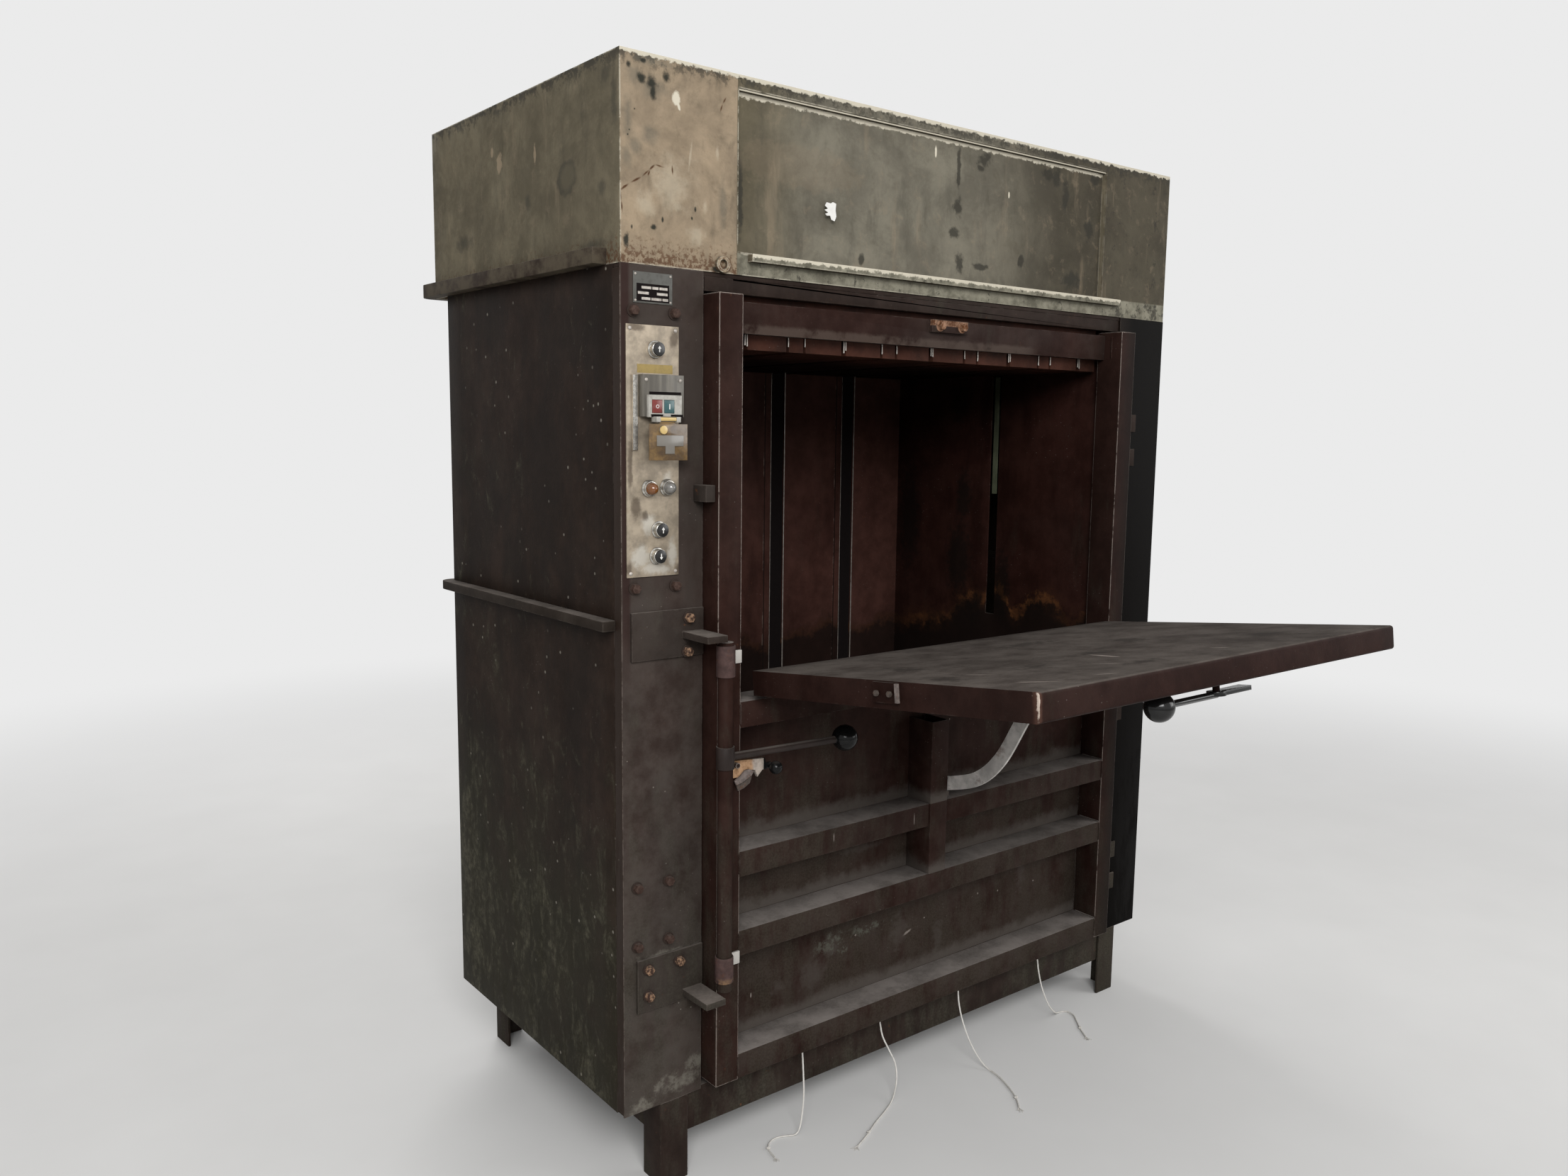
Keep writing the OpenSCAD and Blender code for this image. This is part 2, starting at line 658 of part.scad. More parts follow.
// Press cylinders in the side pockets, and the platen that they pull down
module press_cylinders() placed() color([0.35, 0.36, 0.38]) both_sides() {
    difference() {
        bar_z(barrel_x, platen_y, barrel_z, barrel_z + barrel_l, barrel_d);
        bar_z(barrel_x, platen_y, barrel_z + barrel_cap, barrel_z + barrel_l - barrel_gland, barrel_bore);
        bar_z(barrel_x, platen_y, barrel_z + barrel_cap, barrel_z + barrel_l + over,
            piston_rod_d + 2 * running_fit);
    }
    block(barrel_x - barrel_d / 2, barrel_x + barrel_d / 2,
        platen_y - barrel_d / 2, platen_y + barrel_d / 2,
        base_top, barrel_z);
}
module piston_rods() placed() color([0.6, 0.6, 0.6]) both_sides() {
    z1 = platen_top;
    arm_y = guide_slot / 2 - arm_gap;
    piston_z = barrel_z + barrel_l - barrel_gland - piston_h - running_fit;
    bar_z(barrel_x, platen_y, piston_z, z1 - arm_h, piston_rod_d);
    bar_z(barrel_x, platen_y, piston_z, piston_z + piston_h, barrel_bore - 2 * running_fit);
    block(platen_x, barrel_x + piston_rod_d / 2, platen_y - arm_y, platen_y + arm_y, z1 - arm_h, z1);
}
module platen_slit(x, wide) block(x - wide / 2, x + wide / 2,
    platen_front - over, platen_front + platen_t + over, platen_z - over, platen_z + platen_h * 0.75);
module platen() placed() color([0.3, 0.2, 0.16]) difference() {
    block(-platen_x, platen_x, platen_front, platen_back, platen_z, platen_top);
    block(-platen_x + platen_t, platen_x - platen_t, platen_front + platen_t, platen_back - platen_t,
        platen_z + platen_t, platen_top + over);
    for (x = twine_xs) {
        block(x - platen_cut / 2, x + platen_cut / 2, platen_front + platen_t, platen_back + over,
            platen_z - over, platen_z + platen_h * 0.6);
        for (side = [-1, 1]) platen_slit(x + side * platen_cut / 2, platen_slit);
    }
    for (i = [-2:2]) platen_slit(i * platen_slit_step, 2 * platen_slit);
}

// Control panel
module control_plate() placed() color([0.72, 0.62, 0.48]) {
    block(panel_left, panel_left + panel_w, panel_front, 0, panel_z, panel_top);
    z0 = switch_z - strip_h + housing_h;
    block(panel_left + 10, panel_left + 10 + strip_w, panel_front - 2, panel_front,
        z0 - 60, z0 - 60 + strip_h);
}
module type_plate() placed() color([0.6, 0.58, 0.5])
    block(-panel_x - 37, -panel_x + 40, -1.5, 0, panel_top + 35, panel_top + 86);

module switch_pocket(x, gap) block(x - switch_button_w / 2 - gap, x + switch_button_w / 2 + gap,
    switch_face - switch_body_t - over, switch_face + 8, switch_z + 17 - switch_button_h / 2 - gap,
    switch_z + 17 + switch_button_h / 2 + gap);
module switch_housing() placed() color([0.6, 0.6, 0.58]) {
    mid = -panel_x + switch_x;
    difference() {
        union() {
            block(mid - housing_w / 2, mid + housing_w / 2, switch_face, panel_front,
                switch_z, switch_z + housing_h);
            block(mid - housing_w / 2 + 8, mid + housing_w / 2 - 8,
                switch_face - switch_body_t, switch_face, switch_z - 1, switch_z + 36);
        }
        for (x = [stop_x, start_x]) switch_pocket(x, loose_fit);
    }
    difference() {
        for (x = [mid - 24, mid + 16]) block(x, x + 8, cover_y - 5, switch_face, cover_z - 5, switch_z);
        bar_x(mid - 30, mid + 30, cover_y, cover_z, 2 * cover_pin_r);
    }
    bar_x(mid - 24, mid + 24, cover_y, cover_z, 2 * (cover_pin_r - running_fit));
}
module switch_button(x) intersection() {
    switch_pocket(x, 0);
    block(x - 50, x + 50, switch_face - switch_body_t - 2, switch_face + 8 - button_travel - 1,
        switch_z, switch_z + 50);
}
module stop_button() placed() color([0.75, 0.12, 0.1]) switch_button(stop_x);
module start_button() placed() color([0.1, 0.5, 0.5]) switch_button(start_x);
module switch_cover() placed() color([0.66, 0.6, 0.4]) {
    mid = -panel_x + switch_x;
    difference() {
        union() {
            bar_x(mid - 15.7, mid + 15.7, cover_y, cover_z, 9);
            block(mid - 15.7, mid + 15.7, cover_y - 1, cover_y + 1, cover_z - 12, cover_z);
        }
        bar_x(mid - 20, mid + 20, cover_y, cover_z, 2 * cover_pin_r);
    }
    block(mid - 36, mid + 40, cover_y - 1, cover_y + 1, cover_z - cover_l, cover_z - 8);
    bar_y(-panel_x + 2, cover_y - 6, cover_y - 1, cover_z - 18, 14);
    block(mid - 22, mid + 31, cover_y - 3, cover_y - 1, cover_z - 45, cover_z - 27);
    block(mid - 5, mid + 13, cover_y - 3, cover_y - 1, cover_z - 58, cover_z - 45);
}

module bezels() placed() color([0.75, 0.75, 0.75]) for (p = button_places) difference() {
    bar_y(-panel_x + p[0], panel_front - bezel_out, panel_front, panel_z + p[1], bezel_d);
    bar_y(-panel_x + p[0], panel_front - bezel_out - over, panel_front + over, panel_z + p[1],
        cap_d + 2 * running_fit);
}
module round_button(p) bar_y(-panel_x + p[0], panel_front - bezel_out - 2, panel_front - button_travel - 1,
    panel_z + p[1], cap_d);
module top_button() placed() color([0.08, 0.08, 0.08]) round_button(button_places[0]);
module up_button() placed() color([0.08, 0.08, 0.08]) round_button(button_places[1]);
module down_button() placed() color([0.08, 0.08, 0.08]) round_button(button_places[2]);
module lamps() placed() color([0.85, 0.6, 0.25]) for (p = lamp_places) {
    bar_y(-panel_x + p[0], panel_front - 6, panel_front, panel_z + p[1], bezel_d);
    bar_y(-panel_x + p[0], panel_front - bezel_out, panel_front - 6, panel_z + p[1], cap_d);
    translate([-panel_x + p[0], panel_front - bezel_out, panel_z + p[1]]) intersection() {
        sphere(d = cap_d);
        translate([-cap_d, -cap_d, -cap_d]) cube([2 * cap_d, cap_d, 2 * cap_d]);
    }
}

// Keepers and bolts on the left pillar
module keeper(bar_z0, below, above, x0) {
    block(x0, -door_x - 4, -keeper_plate_t, 0, bar_z0 - below, bar_z0 + above);
    block(keeper_bar[0], keeper_bar[1], -keeper_reach, -keeper_plate_t, bar_z0, bar_z0 + keeper_t);
}
module keeper_upper() placed() color([0.3, 0.24, 0.2]) {
    keeper(keeper_up_z, plate_below, plate_above, -body_x + plate_in);
    block(-door_x - 3 - latch_block_w, -door_x - 3, -door_proud + keeper_plate_t, 0,
        latch_block_z, latch_block_z + latch_block_h);
}
module keeper_lower() placed() color([0.3, 0.24, 0.2]) keeper(keeper_low_z, 10, 89, -body_x + 26);
module pillar_bolts() placed() color([0.45, 0.25, 0.12]) {
    for (x = [-panel_x - 38, -panel_x + 43]) bolt(x, 0, panel_top + 22);
    for (x = [-panel_x - 37, -panel_x + 45]) bolt(x, 0, panel_z - 19);
    for (z = [115, 224]) for (x = [28, 93]) bolt(-body_x + x, 0, keeper_low_z + z);
    for (p = [[34, 36], [37, -24]]) bolt(-door_x - p[0] - 3, -keeper_plate_t, keeper_up_z + p[1]);
    for (p = [[47, 70], [112, 70], [47, 20]]) bolt(-body_x + p[0], -keeper_plate_t, keeper_low_z + p[1]);
}

// Door hinges on the right pillar: the pillar's knuckles, their pads and the pins
module knuckle(z0, z1, hole) difference() {
    bar_z(hinge_x, -hinge_fore, z0, z1, hinge_d);
    bar_z(hinge_x, -hinge_fore, z0 - over, z1 + over, hinge_pin_d + 2 * hole);
}
module hinge_leaves() placed() color([0.25, 0.12, 0.12]) for (z = hinge_zs) {
    half = knuckle_h / 2 + loose_fit;
    for (k = [[z - half - knuckle_h, z - half], [z + half, z + half + knuckle_h]]) {
        bar_z(hinge_x, -hinge_fore, k[0], k[1], hinge_d);
        block(hinge_x, hinge_x + leaf_w, -leaf_t, 0, k[0], k[1]);
        block(hinge_x - 2, hinge_x + hinge_d / 3, -hinge_fore, 0, k[0], k[1]);
    }
    bar_z(hinge_x, -hinge_fore, z - half - knuckle_h, z + half + knuckle_h, hinge_pin_d);
}

// Door frame: two tube stiles with a header, four ribs and the sheet behind them
module door_stiles() placed() color([0.28, 0.1, 0.12]) {
    both_sides() difference() {
        block(stile_in, door_x, -door_proud, door_back, door_z, door_top);
        block(stile_in + tube_t, door_x - tube_t, -door_proud + tube_t, door_back - tube_t, door_z - over,
            door_top + over);
    }
    for (z = hinge_zs) {
        knuckle(z - knuckle_h / 2, z + knuckle_h / 2, running_fit);
        block(door_x, hinge_x - hinge_d / 2 + 2, -hinge_fore - 20, -3,
            z - knuckle_h / 2, z + knuckle_h / 2);
    }
    bar_y(catch_pin_x, -door_proud - catch_t - 9, -door_proud, catch_pin_z, catch_pin_d);
}
module door_header() placed() color([0.26, 0.11, 0.12]) {
    z1 = header_z + header_h;
    block(-stile_in, stile_in, 2, door_back, header_z, z1);
    block(-36, 67, -8, 2, z1 - 25, z1);
    for (x = [-15, 48]) bolt(x, -8, z1 - 12.5);
}
module door_ribs() placed() color([0.29, 0.1, 0.12]) {
    difference() {
        for (top = rib_tops) difference() {
            block(-stile_in, stile_in, -door_proud, door_back, top - rib_h, top);
            block(-stile_in - over, stile_in + over, -door_proud + tube_t, door_back + over,
                top - rib_h + tube_t, top - tube_t);
        }
        block(channel_left, channel_right, -door_proud - over, door_back + over, rib_2_top, channel_top);
    }
    block(channel_right + 1, channel_right + 19, -door_proud + 10, -door_proud + 30,
        rib_3_top, rib_3_top + 13);
    for (x = flap_hinge_xs) for (side = [-1, 1]) {
        x0 = x + side * 50;
        bar_x(x0 - 20, x0 + 20, -door_proud, flap_hinge_z, flap_barrel_d);
        block(x0 - 20, x0 + 20, -door_proud, -door_proud + flap_barrel_d / 2, rib_4_top, flap_hinge_z);
    }
    for (x = flap_hinge_xs) bar_x(x - 60, x + 60, -door_proud, flap_hinge_z, flap_pin_d);
}
module door_sheet() placed() color([0.3, 0.12, 0.13])
    block(-door_x + 8, door_x - 8, door_back, sheet_y, door_z, rib_4_top);
module stay_channel() placed() color([0.27, 0.12, 0.13]) difference() {
    block(channel_left, channel_right, -door_proud - 3, door_back, rib_2_top, channel_top);
    block(channel_left + tube_t, channel_right - tube_t, -door_proud, door_back + over, rib_2_top - over,
        channel_top + over);
}

// Lock: bushes welded to the left stile, the rod that turns in them, its lever and the safety catch
module bush(z0, l) {
    difference() {
        bar_z(lock_x, lock_y, z0, z0 + l, bush_d);
        bar_z(lock_x, lock_y, z0 - over, z0 + l + over, lock_rod_d + 2 * running_fit);
    }
    block(lock_x + bush_d / 2 - 3, -stile_in - 1, -door_proud - 5, -door_proud, z0 + 18, z0 + 18 + 24);
}
module lock_bushes() placed() color([0.55, 0.42, 0.38]) {
    bush(bush_up_z, bush_l);
    bush(bush_low_z, 48);
}
module lock_rod() placed() color([0.3, 0.11, 0.13]) {
    bar_z(lock_x, lock_y, lock_bottom, lock_top, lock_rod_d);
}
module lock_lever() placed() color([0.1, 0.1, 0.1])
    translate([lock_x, lock_y, lever_z]) rotate([0, 0, lever_angle]) {
    difference() {
        translate([0, 0, -20]) cylinder(d = 2 * (-door_proud - lock_y) - 2 * loose_fit, h = 40);
        translate([0, 0, -20 - over]) cylinder(d = lock_rod_d, h = 40 + 2 * over);
    }
    translate([lock_rod_d / 2, 0, 0]) knob(lever_d, lever_l - lock_rod_d / 2, lever_ball_d);
}
module safety_catch() placed() color([0.6, 0.55, 0.5]) {
    y0 = -door_proud - catch_t - loose_fit;
    y1 = -door_proud - loose_fit;
    x = catch_pin_x;
    z = catch_pin_z;
    difference() {
        union() {
            block(x - 8, x + 48, y0, y1, z - 3, z + 15);
            for (dx = [-8, 15, 38]) block(x + dx, x + dx + 10, y0, y1, z - 16, z);
            block(x + 38, x + 82, y0, y1, z - 11, z - 1);
        }
        bar_y(x, y0 - over, y1 + over, z, catch_pin_d + 2 * running_fit);
    }
    translate([x + 77, y0 + 2, z - 6]) rotate([0, 0, -90]) knob(8, catch_stem, catch_ball_d);
}

// Feed flap, its latch and its stay
module on_flap() translate([0, -door_proud, flap_hinge_z]) rotate([-flap_tilt, 0, 0]) children();
module round_bar(x, s0, s1, t0, t1, r) translate([-x, 0, 0]) rotate([90, 0, 90]) linear_extrude(2 * x) {
    translate([-s1 + r, t0]) square([s1 - s0 - r, t1 - t0]);
    translate([-s1, t0 + r]) square([r + over, t1 - t0 - 2 * r]);
    for (t = [t0 + r, t1 - r]) translate([-s1 + r, t]) circle(r);
}
module flap_panel() placed() color([0.5, 0.46, 0.42]) on_flap() {
    difference() {
        round_bar(flap_x, flap_start, flap_len, 0, flap_t, flap_edge_r);
        block(-flap_x + flap_wall, flap_x - flap_wall, -flap_len + flap_edge_r + flap_wall,
            -flap_start + over,
            flap_wall, flap_t - flap_wall);
    }
    for (x = flap_hinge_xs) difference() {
        union() {
            bar_x(x - 30 + loose_fit, x + 30 - loose_fit, 0, 0, flap_barrel_d);
            block(x - 30 + loose_fit, x + 30 - loose_fit, -flap_start - 2, 0, 0, flap_barrel_d / 2);
        }
        bar_x(x - 30 - over, x + 30 + over, 0, 0, flap_pin_d + 2 * running_fit);
    }
    block(-flap_x - flap_bracket_t, -flap_x, -flap_bracket_s - flap_bracket_l, -flap_bracket_s, 10, 43);
    stay_lug();
    translate([latch_x, -latch_s, -latch_low]) cylinder(d = latch_pin_d, h = latch_low);
}
// The lug under the flap that carries the stay, with the stay's pivot pin
module stay_lug() {
    x0 = stay_x + stay_t + loose_fit;
    block(x0, x0 + 8, -stay_s - 20, -stay_s + 20, -stay_drop, 0);
    bar_x(x0, x0 + 8, -stay_s, -stay_drop, 40);
    bar_x(stay_x - 4, x0, -stay_s, -stay_drop, 12);
}
// A flat bar's outline along its bends, mitred at each one, with a round eye at both ends
function bend_dir(p, i) = unit(unit(p[min(i + 1, len(p) - 1)] - p[min(i, len(p) - 2)])
    + unit(p[max(i, 1)] - p[max(i - 1, 0)]));
function edge_point(p, i, r) = let (d = bend_dir(p, i), e = unit(p[max(i, 1)] - p[max(i - 1, 0)]))
    p[i] + r / (d * e) * [-d[1], d[0]];
module stay_bar() placed() color([0.7, 0.7, 0.7]) translate([stay_x, stay_pivot[0], stay_pivot[1]]) {
    last = len(stay_bends) - 1;
    difference() {
        union() {
            rotate([90, 0, 90]) linear_extrude(stay_t) polygon(concat(
                [for (i = [last:-1:0]) edge_point(stay_bends, i, stay_w / 2)],
                [for (i = [0:last]) edge_point(stay_bends, i, -stay_w / 2)]));
            for (i = [0, last]) bar_x(0, stay_t, stay_bends[i][0], stay_bends[i][1], stay_w + stay_eye);
        }
        bar_x(-over, stay_t + over, 0, 0, 12 + 2 * running_fit);
    }
}
module latch_lever() placed() color([0.1, 0.1, 0.1]) on_flap() translate([latch_x, -latch_s, -latch_low]) {
    difference() {
        union() {
            cylinder(d = latch_w + 8, h = latch_t);
            translate([0, -latch_w / 2, 0]) cube([latch_tongue, latch_w, latch_t]);
            translate([0, 0, latch_rise]) rotate([0, 0, 180]) knob(latch_w / 2, latch_arm, latch_ball_d);
        }
        translate([0, 0, -over]) cylinder(d = latch_pin_d + 2 * running_fit,
            h = latch_t + 3 * over + latch_w);
    }
}

// Twine: a tube swept along a route, its rings set square to the bend
function unit(v) = v / norm(v);
function along(p, i) = unit(p[min(i + 1, len(p) - 1)] - p[max(i - 1, 0)]);
function side_of(d) = unit(cross(d, abs(d[0]) < 0.9 ? [1, 0, 0] : [0, 1, 0]));
function ring(p, i, r, n) = let (d = along(p, i), a = side_of(d), b = cross(d, a))
    [for (k = [0:n - 1]) p[i] + r * (cos(360 * k / n) * a + sin(360 * k / n) * b)];
module tube(p, r, n) polyhedron(
    points = [for (i = [0:len(p) - 1]) each ring(p, i, r, n)],
    faces = concat([[for (k = [0:n - 1]) k]], [[for (k = [n - 1:-1:0]) (len(p) - 1) * n + k]],
        [for (i = [0:len(p) - 2]) for (k = [0:n - 1])
            [i * n + k, (i + 1) * n + k, (i + 1) * n + (k + 1) % n, i * n + (k + 1) % n]]));
module twine_1() placed() color([0.9, 0.9, 0.86]) tube(twine_route_1, twine_r, 8);
module twine_2() placed() color([0.9, 0.9, 0.86]) tube(twine_route_2, twine_r, 8);
module twine_3() placed() color([0.9, 0.9, 0.86]) tube(twine_route_3, twine_r, 8);
module twine_4() placed() color([0.9, 0.9, 0.86]) tube(twine_route_4, twine_r, 8);

base_plate();
base_beams();
leg_front_left();
leg_front_right();
leg_rear_left();
leg_rear_right();
pillar_left();
pillar_right();
left_lower_panel();
left_upper_panel();
right_lower_panel();
right_upper_panel();
rear_panel();
middle_rail();
upper_rail();
chamber_left_wall();
chamber_right_wall();
chamber_rear_wall();
lintel();
deck();
hood_shell();
hood_cover();
hood_front_rail();
press_cylinders();
oil_tank();
pump_motor();
pump();
control_plate();
type_plate();
switch_housing();
bezels();
lamps();
keeper_upper();
keeper_lower();
pillar_bolts();
hinge_leaves();
door_stiles();
door_ribs();
door_sheet();
door_header();
stay_channel();
lock_bushes();
flap_panel();
stay_bar();
latch_lever();
lock_rod();
lock_lever();
safety_catch();
platen();
piston_rods();
top_button();
up_button();
down_button();
stop_button();
start_button();
switch_cover();
twine_1();
twine_2();
twine_3();
twine_4();
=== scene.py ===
import json
import math
import random
import bpy
import bmesh
from mathutils import Matrix, Vector, noise


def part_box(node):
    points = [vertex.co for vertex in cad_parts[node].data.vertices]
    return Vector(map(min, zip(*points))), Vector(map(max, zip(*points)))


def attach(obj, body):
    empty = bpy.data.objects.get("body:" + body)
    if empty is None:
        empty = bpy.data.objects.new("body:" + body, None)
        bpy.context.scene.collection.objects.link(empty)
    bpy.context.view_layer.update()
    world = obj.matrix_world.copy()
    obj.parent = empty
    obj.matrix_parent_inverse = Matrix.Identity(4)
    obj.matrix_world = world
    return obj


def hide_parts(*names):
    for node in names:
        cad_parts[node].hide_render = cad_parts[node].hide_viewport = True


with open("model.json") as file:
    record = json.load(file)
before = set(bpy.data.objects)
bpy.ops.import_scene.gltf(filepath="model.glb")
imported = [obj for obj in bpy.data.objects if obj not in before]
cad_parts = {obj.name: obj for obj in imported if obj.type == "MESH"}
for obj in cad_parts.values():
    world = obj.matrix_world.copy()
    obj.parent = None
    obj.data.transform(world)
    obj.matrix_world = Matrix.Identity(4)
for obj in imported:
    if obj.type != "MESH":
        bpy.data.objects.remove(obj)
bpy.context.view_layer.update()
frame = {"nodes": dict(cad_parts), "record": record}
node_body = {n: b for b, ns in frame["record"]["behaviour"]["bodies"].items() for n in ns}
node_slot = {s["node"]: s["material_slot"] for s in frame["record"]["subparts"]}
rng = random.Random(7)
MM = 0.001

# Places that the rest is worked out from
front_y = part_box("pillar_left")[0][1]


def at(x, y, z):
    """A point in metres from millimetres, with y measured from the front of the pillars."""
    return Vector((x * MM, front_y + y * MM, z * MM))


def link(obj):
    bpy.context.scene.collection.objects.link(obj)
    return obj


# Camera, as solved from the photo
LENS = 27.56
CAMERA_AT = (-1785, -1751.5, 1389.5)
YAW, PITCH, ROLL = (math.radians(a) for a in (38.32, -7.39, 0.684))


def make_camera():
    fwd = Vector((math.sin(YAW) * math.cos(PITCH), math.cos(YAW) * math.cos(PITCH), math.sin(PITCH)))
    right0 = Vector((math.cos(YAW), -math.sin(YAW), 0))
    up0 = right0.cross(fwd)
    right = math.cos(ROLL) * right0 + math.sin(ROLL) * up0
    up = -math.sin(ROLL) * right0 + math.cos(ROLL) * up0
    data = bpy.data.cameras.new("camera")
    data.lens = LENS
    data.sensor_width = 36
    data.clip_end = 50
    camera = link(bpy.data.objects.new("camera", data))
    turn = Matrix((right, up, -fwd)).transposed().to_4x4()
    camera.matrix_world = Matrix.Translation(at(*CAMERA_AT)) @ turn
    bpy.context.scene.camera = camera


make_camera()


# Materials, which each Shader adds when it is finished
materials = {}


class Shader:
    """A material whose nodes are made one line at a time. Sockets are passed where a number could be.
    tone is the colour so far, grain the noise that its patches follow, knob the mask of a black ball."""

    def __init__(self, name, roughness=0.6, metallic=0.0, specular=0.5):
        self.name = name
        self.mat = bpy.data.materials.new(name)
        self.mat.use_nodes = True
        self.tree = self.mat.node_tree
        self.bsdf = next(n for n in self.tree.nodes if n.type == "BSDF_PRINCIPLED")
        self.bsdf.inputs["Roughness"].default_value = roughness
        self.bsdf.inputs["Metallic"].default_value = metallic
        self.bsdf.inputs["Specular IOR Level"].default_value = specular
        coord = self.tree.nodes.new("ShaderNodeTexCoord")
        self.place = coord.outputs["Object"]
        self.normal = coord.outputs["Normal"]
        self.x, self.y, self.z = (self.axis(self.place, i) for i in range(3))
        self.tone = self.grain = self.rough_edge = self.knob = None
        self.heights = []

    def node(self, kind, ins, out=0, **props):
        n = self.tree.nodes.new(kind)
        for k, v in props.items():
            setattr(n, k, v)
        for k, v in ins.items():
            self.put(n.inputs[k], v)
        return n.outputs[out]

    def put(self, socket, value):
        if isinstance(value, bpy.types.NodeSocket):
            self.tree.links.new(value, socket)
        elif isinstance(value, (tuple, list)) and len(value) == 3 and socket.type == "RGBA":
            socket.default_value = (*value, 1)
        else:
            socket.default_value = value

    def math(self, op, a, b=0.0, clamp=False):
        return self.node("ShaderNodeMath", {0: a, 1: b}, operation=op, use_clamp=clamp)

    def add(self, a, b, k=None):
        """a plus b, or a plus k times b."""
        return self.math("ADD", a, b if k is None else self.math("MULTIPLY", b, k))

    def both(self, *masks):
        """The product of the masks, held between 0 and 1."""
        total = masks[0]
        for mask in masks[1:]:
            total = self.math("MULTIPLY", total, mask, clamp=True)
        return total

    def scaled(self, scale, shift=(0, 0, 0)):
        return self.node("ShaderNodeMapping", {"Vector": self.place, "Scale": scale, "Location": shift})

    def noise(self, scale, detail=4.0, rough=0.55, vector=None, distortion=0.0):
        ins = {"Vector": vector or self.place, "Scale": scale, "Detail": detail, "Roughness": rough,
               "Distortion": distortion}
        return self.node("ShaderNodeTexNoise", ins)

    def cells(self, scale):
        return self.node("ShaderNodeTexVoronoi", {"Vector": self.place, "Scale": scale})

    def step(self, value, low, high, to_low=0.0, to_high=1.0):
        """A smooth step of value between low and high."""
        ins = {"Value": value, "From Min": low, "From Max": high, "To Min": to_low, "To Max": to_high}
        return self.node("ShaderNodeMapRange", ins, interpolation_type="SMOOTHSTEP")

    def curve(self, value, points):
        """A curve through the points, which run from 0 to 1 both ways."""
        n = self.tree.nodes.new("ShaderNodeFloatCurve")
        line = n.mapping.curves[0].points
        for _ in points[2:]:
            line.new(0.5, 0.5)
        for spot, (a, b) in zip(line, points):
            spot.location = (a, b)
        n.mapping.update()
        self.put(n.inputs["Value"], value)
        return n.outputs[0]

    def mix(self, fac, a, b):
        n = self.tree.nodes.new("ShaderNodeMix")
        n.data_type = "RGBA"
        for socket, value in ((n.inputs[0], fac), (n.inputs[6], a), (n.inputs[7], b)):
            self.put(socket, value)
        return n.outputs[2]

    def lay(self, colour, *masks):
        """Lays a colour over the tone where all the masks are."""
        self.tone = self.mix(self.both(*masks), self.tone, colour)

    def axis(self, vector, i):
        return self.node("ShaderNodeSeparateXYZ", {0: vector}, out=i)

    def facing(self, i, low, high):
        """1 where the surface faces along axis i, as a step of its normal."""
        return self.step(self.axis(self.normal, i), low, high)

    def ragged(self):
        """The noise that frays the outlines of spots, from about -0.5 to 0.5."""
        if self.rough_edge is None:
            self.rough_edge = self.math("SUBTRACT", self.noise(55, 6, 0.65), 0.5)
        return self.rough_edge

    def spot(self, centre, size, angle=0.0, jag=2.2, soft=0.45, across=1):
        """A ragged ellipse on a front face, or across another axis: 0 for a side, 2 for a top.
        centre and size are in millimetres, in the two axes that are left."""
        centre, scale = list(centre), [1 / (c * MM) for c in size]
        centre.insert(across, 0)
        scale.insert(across, 0)
        mid, spin = at(*centre), Matrix.Rotation(math.radians(angle), 3, "XYZ"[across])
        mid[across] = 0
        turned = self.node("ShaderNodeMapping", {"Vector": self.place, "Location": -(spin @ mid),
                                                 "Rotation": spin.to_euler()})
        near = self.node("ShaderNodeMapping", {"Vector": turned, "Scale": scale})
        far = self.node("ShaderNodeVectorMath", {0: near}, out=1, operation="LENGTH")
        far = self.node("ShaderNodeMath", {0: self.ragged(), 1: jag, 2: far}, operation="MULTIPLY_ADD")
        return self.step(far, 1.0, 1.0 - soft)

    def spots(self, rows, **kinds):
        """All the spots of a list of (centre, size, angle), in one mask."""
        total = None
        for centre, size, *angle in rows:
            one = self.spot(centre, size, *angle, **kinds)
            total = one if total is None else self.math("MAXIMUM", total, one)
        return total

    def edges(self, radius):
        """0 on flat faces and 1 on the edges, within about radius of them."""
        bevel = self.node("ShaderNodeBevel", {"Radius": radius}, samples=4)
        plain = self.node("ShaderNodeNewGeometry", {}, out=1)
        dot = self.node("ShaderNodeVectorMath", {0: bevel, 1: plain}, out=1, operation="DOT_PRODUCT")
        return self.step(dot, 0.99, 0.93)

    def bump(self, height, strength=0.3, distance=0.001):
        self.heights.append((height, strength, distance))

    def finish(self, roughness=None, metallic=None):
        self.put(self.bsdf.inputs["Base Color"], self.tone)
        if roughness is not None:
            self.put(self.bsdf.inputs["Roughness"], roughness)
        if metallic is not None:
            self.put(self.bsdf.inputs["Metallic"], metallic)
        last = None
        for height, strength, distance in self.heights:
            ins = {"Height": height, "Strength": strength, "Distance": distance}
            if last is not None:
                ins["Normal"] = last
            last = self.node("ShaderNodeBump", ins)
        if last is not None:
            self.tree.links.new(last, self.bsdf.inputs["Normal"])
        materials[self.name] = self.mat


DUST = (0.108, 0.093, 0.082)
PALE_DUST = (0.108, 0.096, 0.088)
STEEL = (0.5, 0.43, 0.38)
WORN = (0.105, 0.088, 0.076)
MILDEW = (0.062, 0.059, 0.044)
RUST = (0.15, 0.055, 0.02)
CREAM = (0.5, 0.46, 0.37)
GRIME = (0.013, 0.0105, 0.009)


def times(colour, k):
    return tuple(k * c for c in colour)


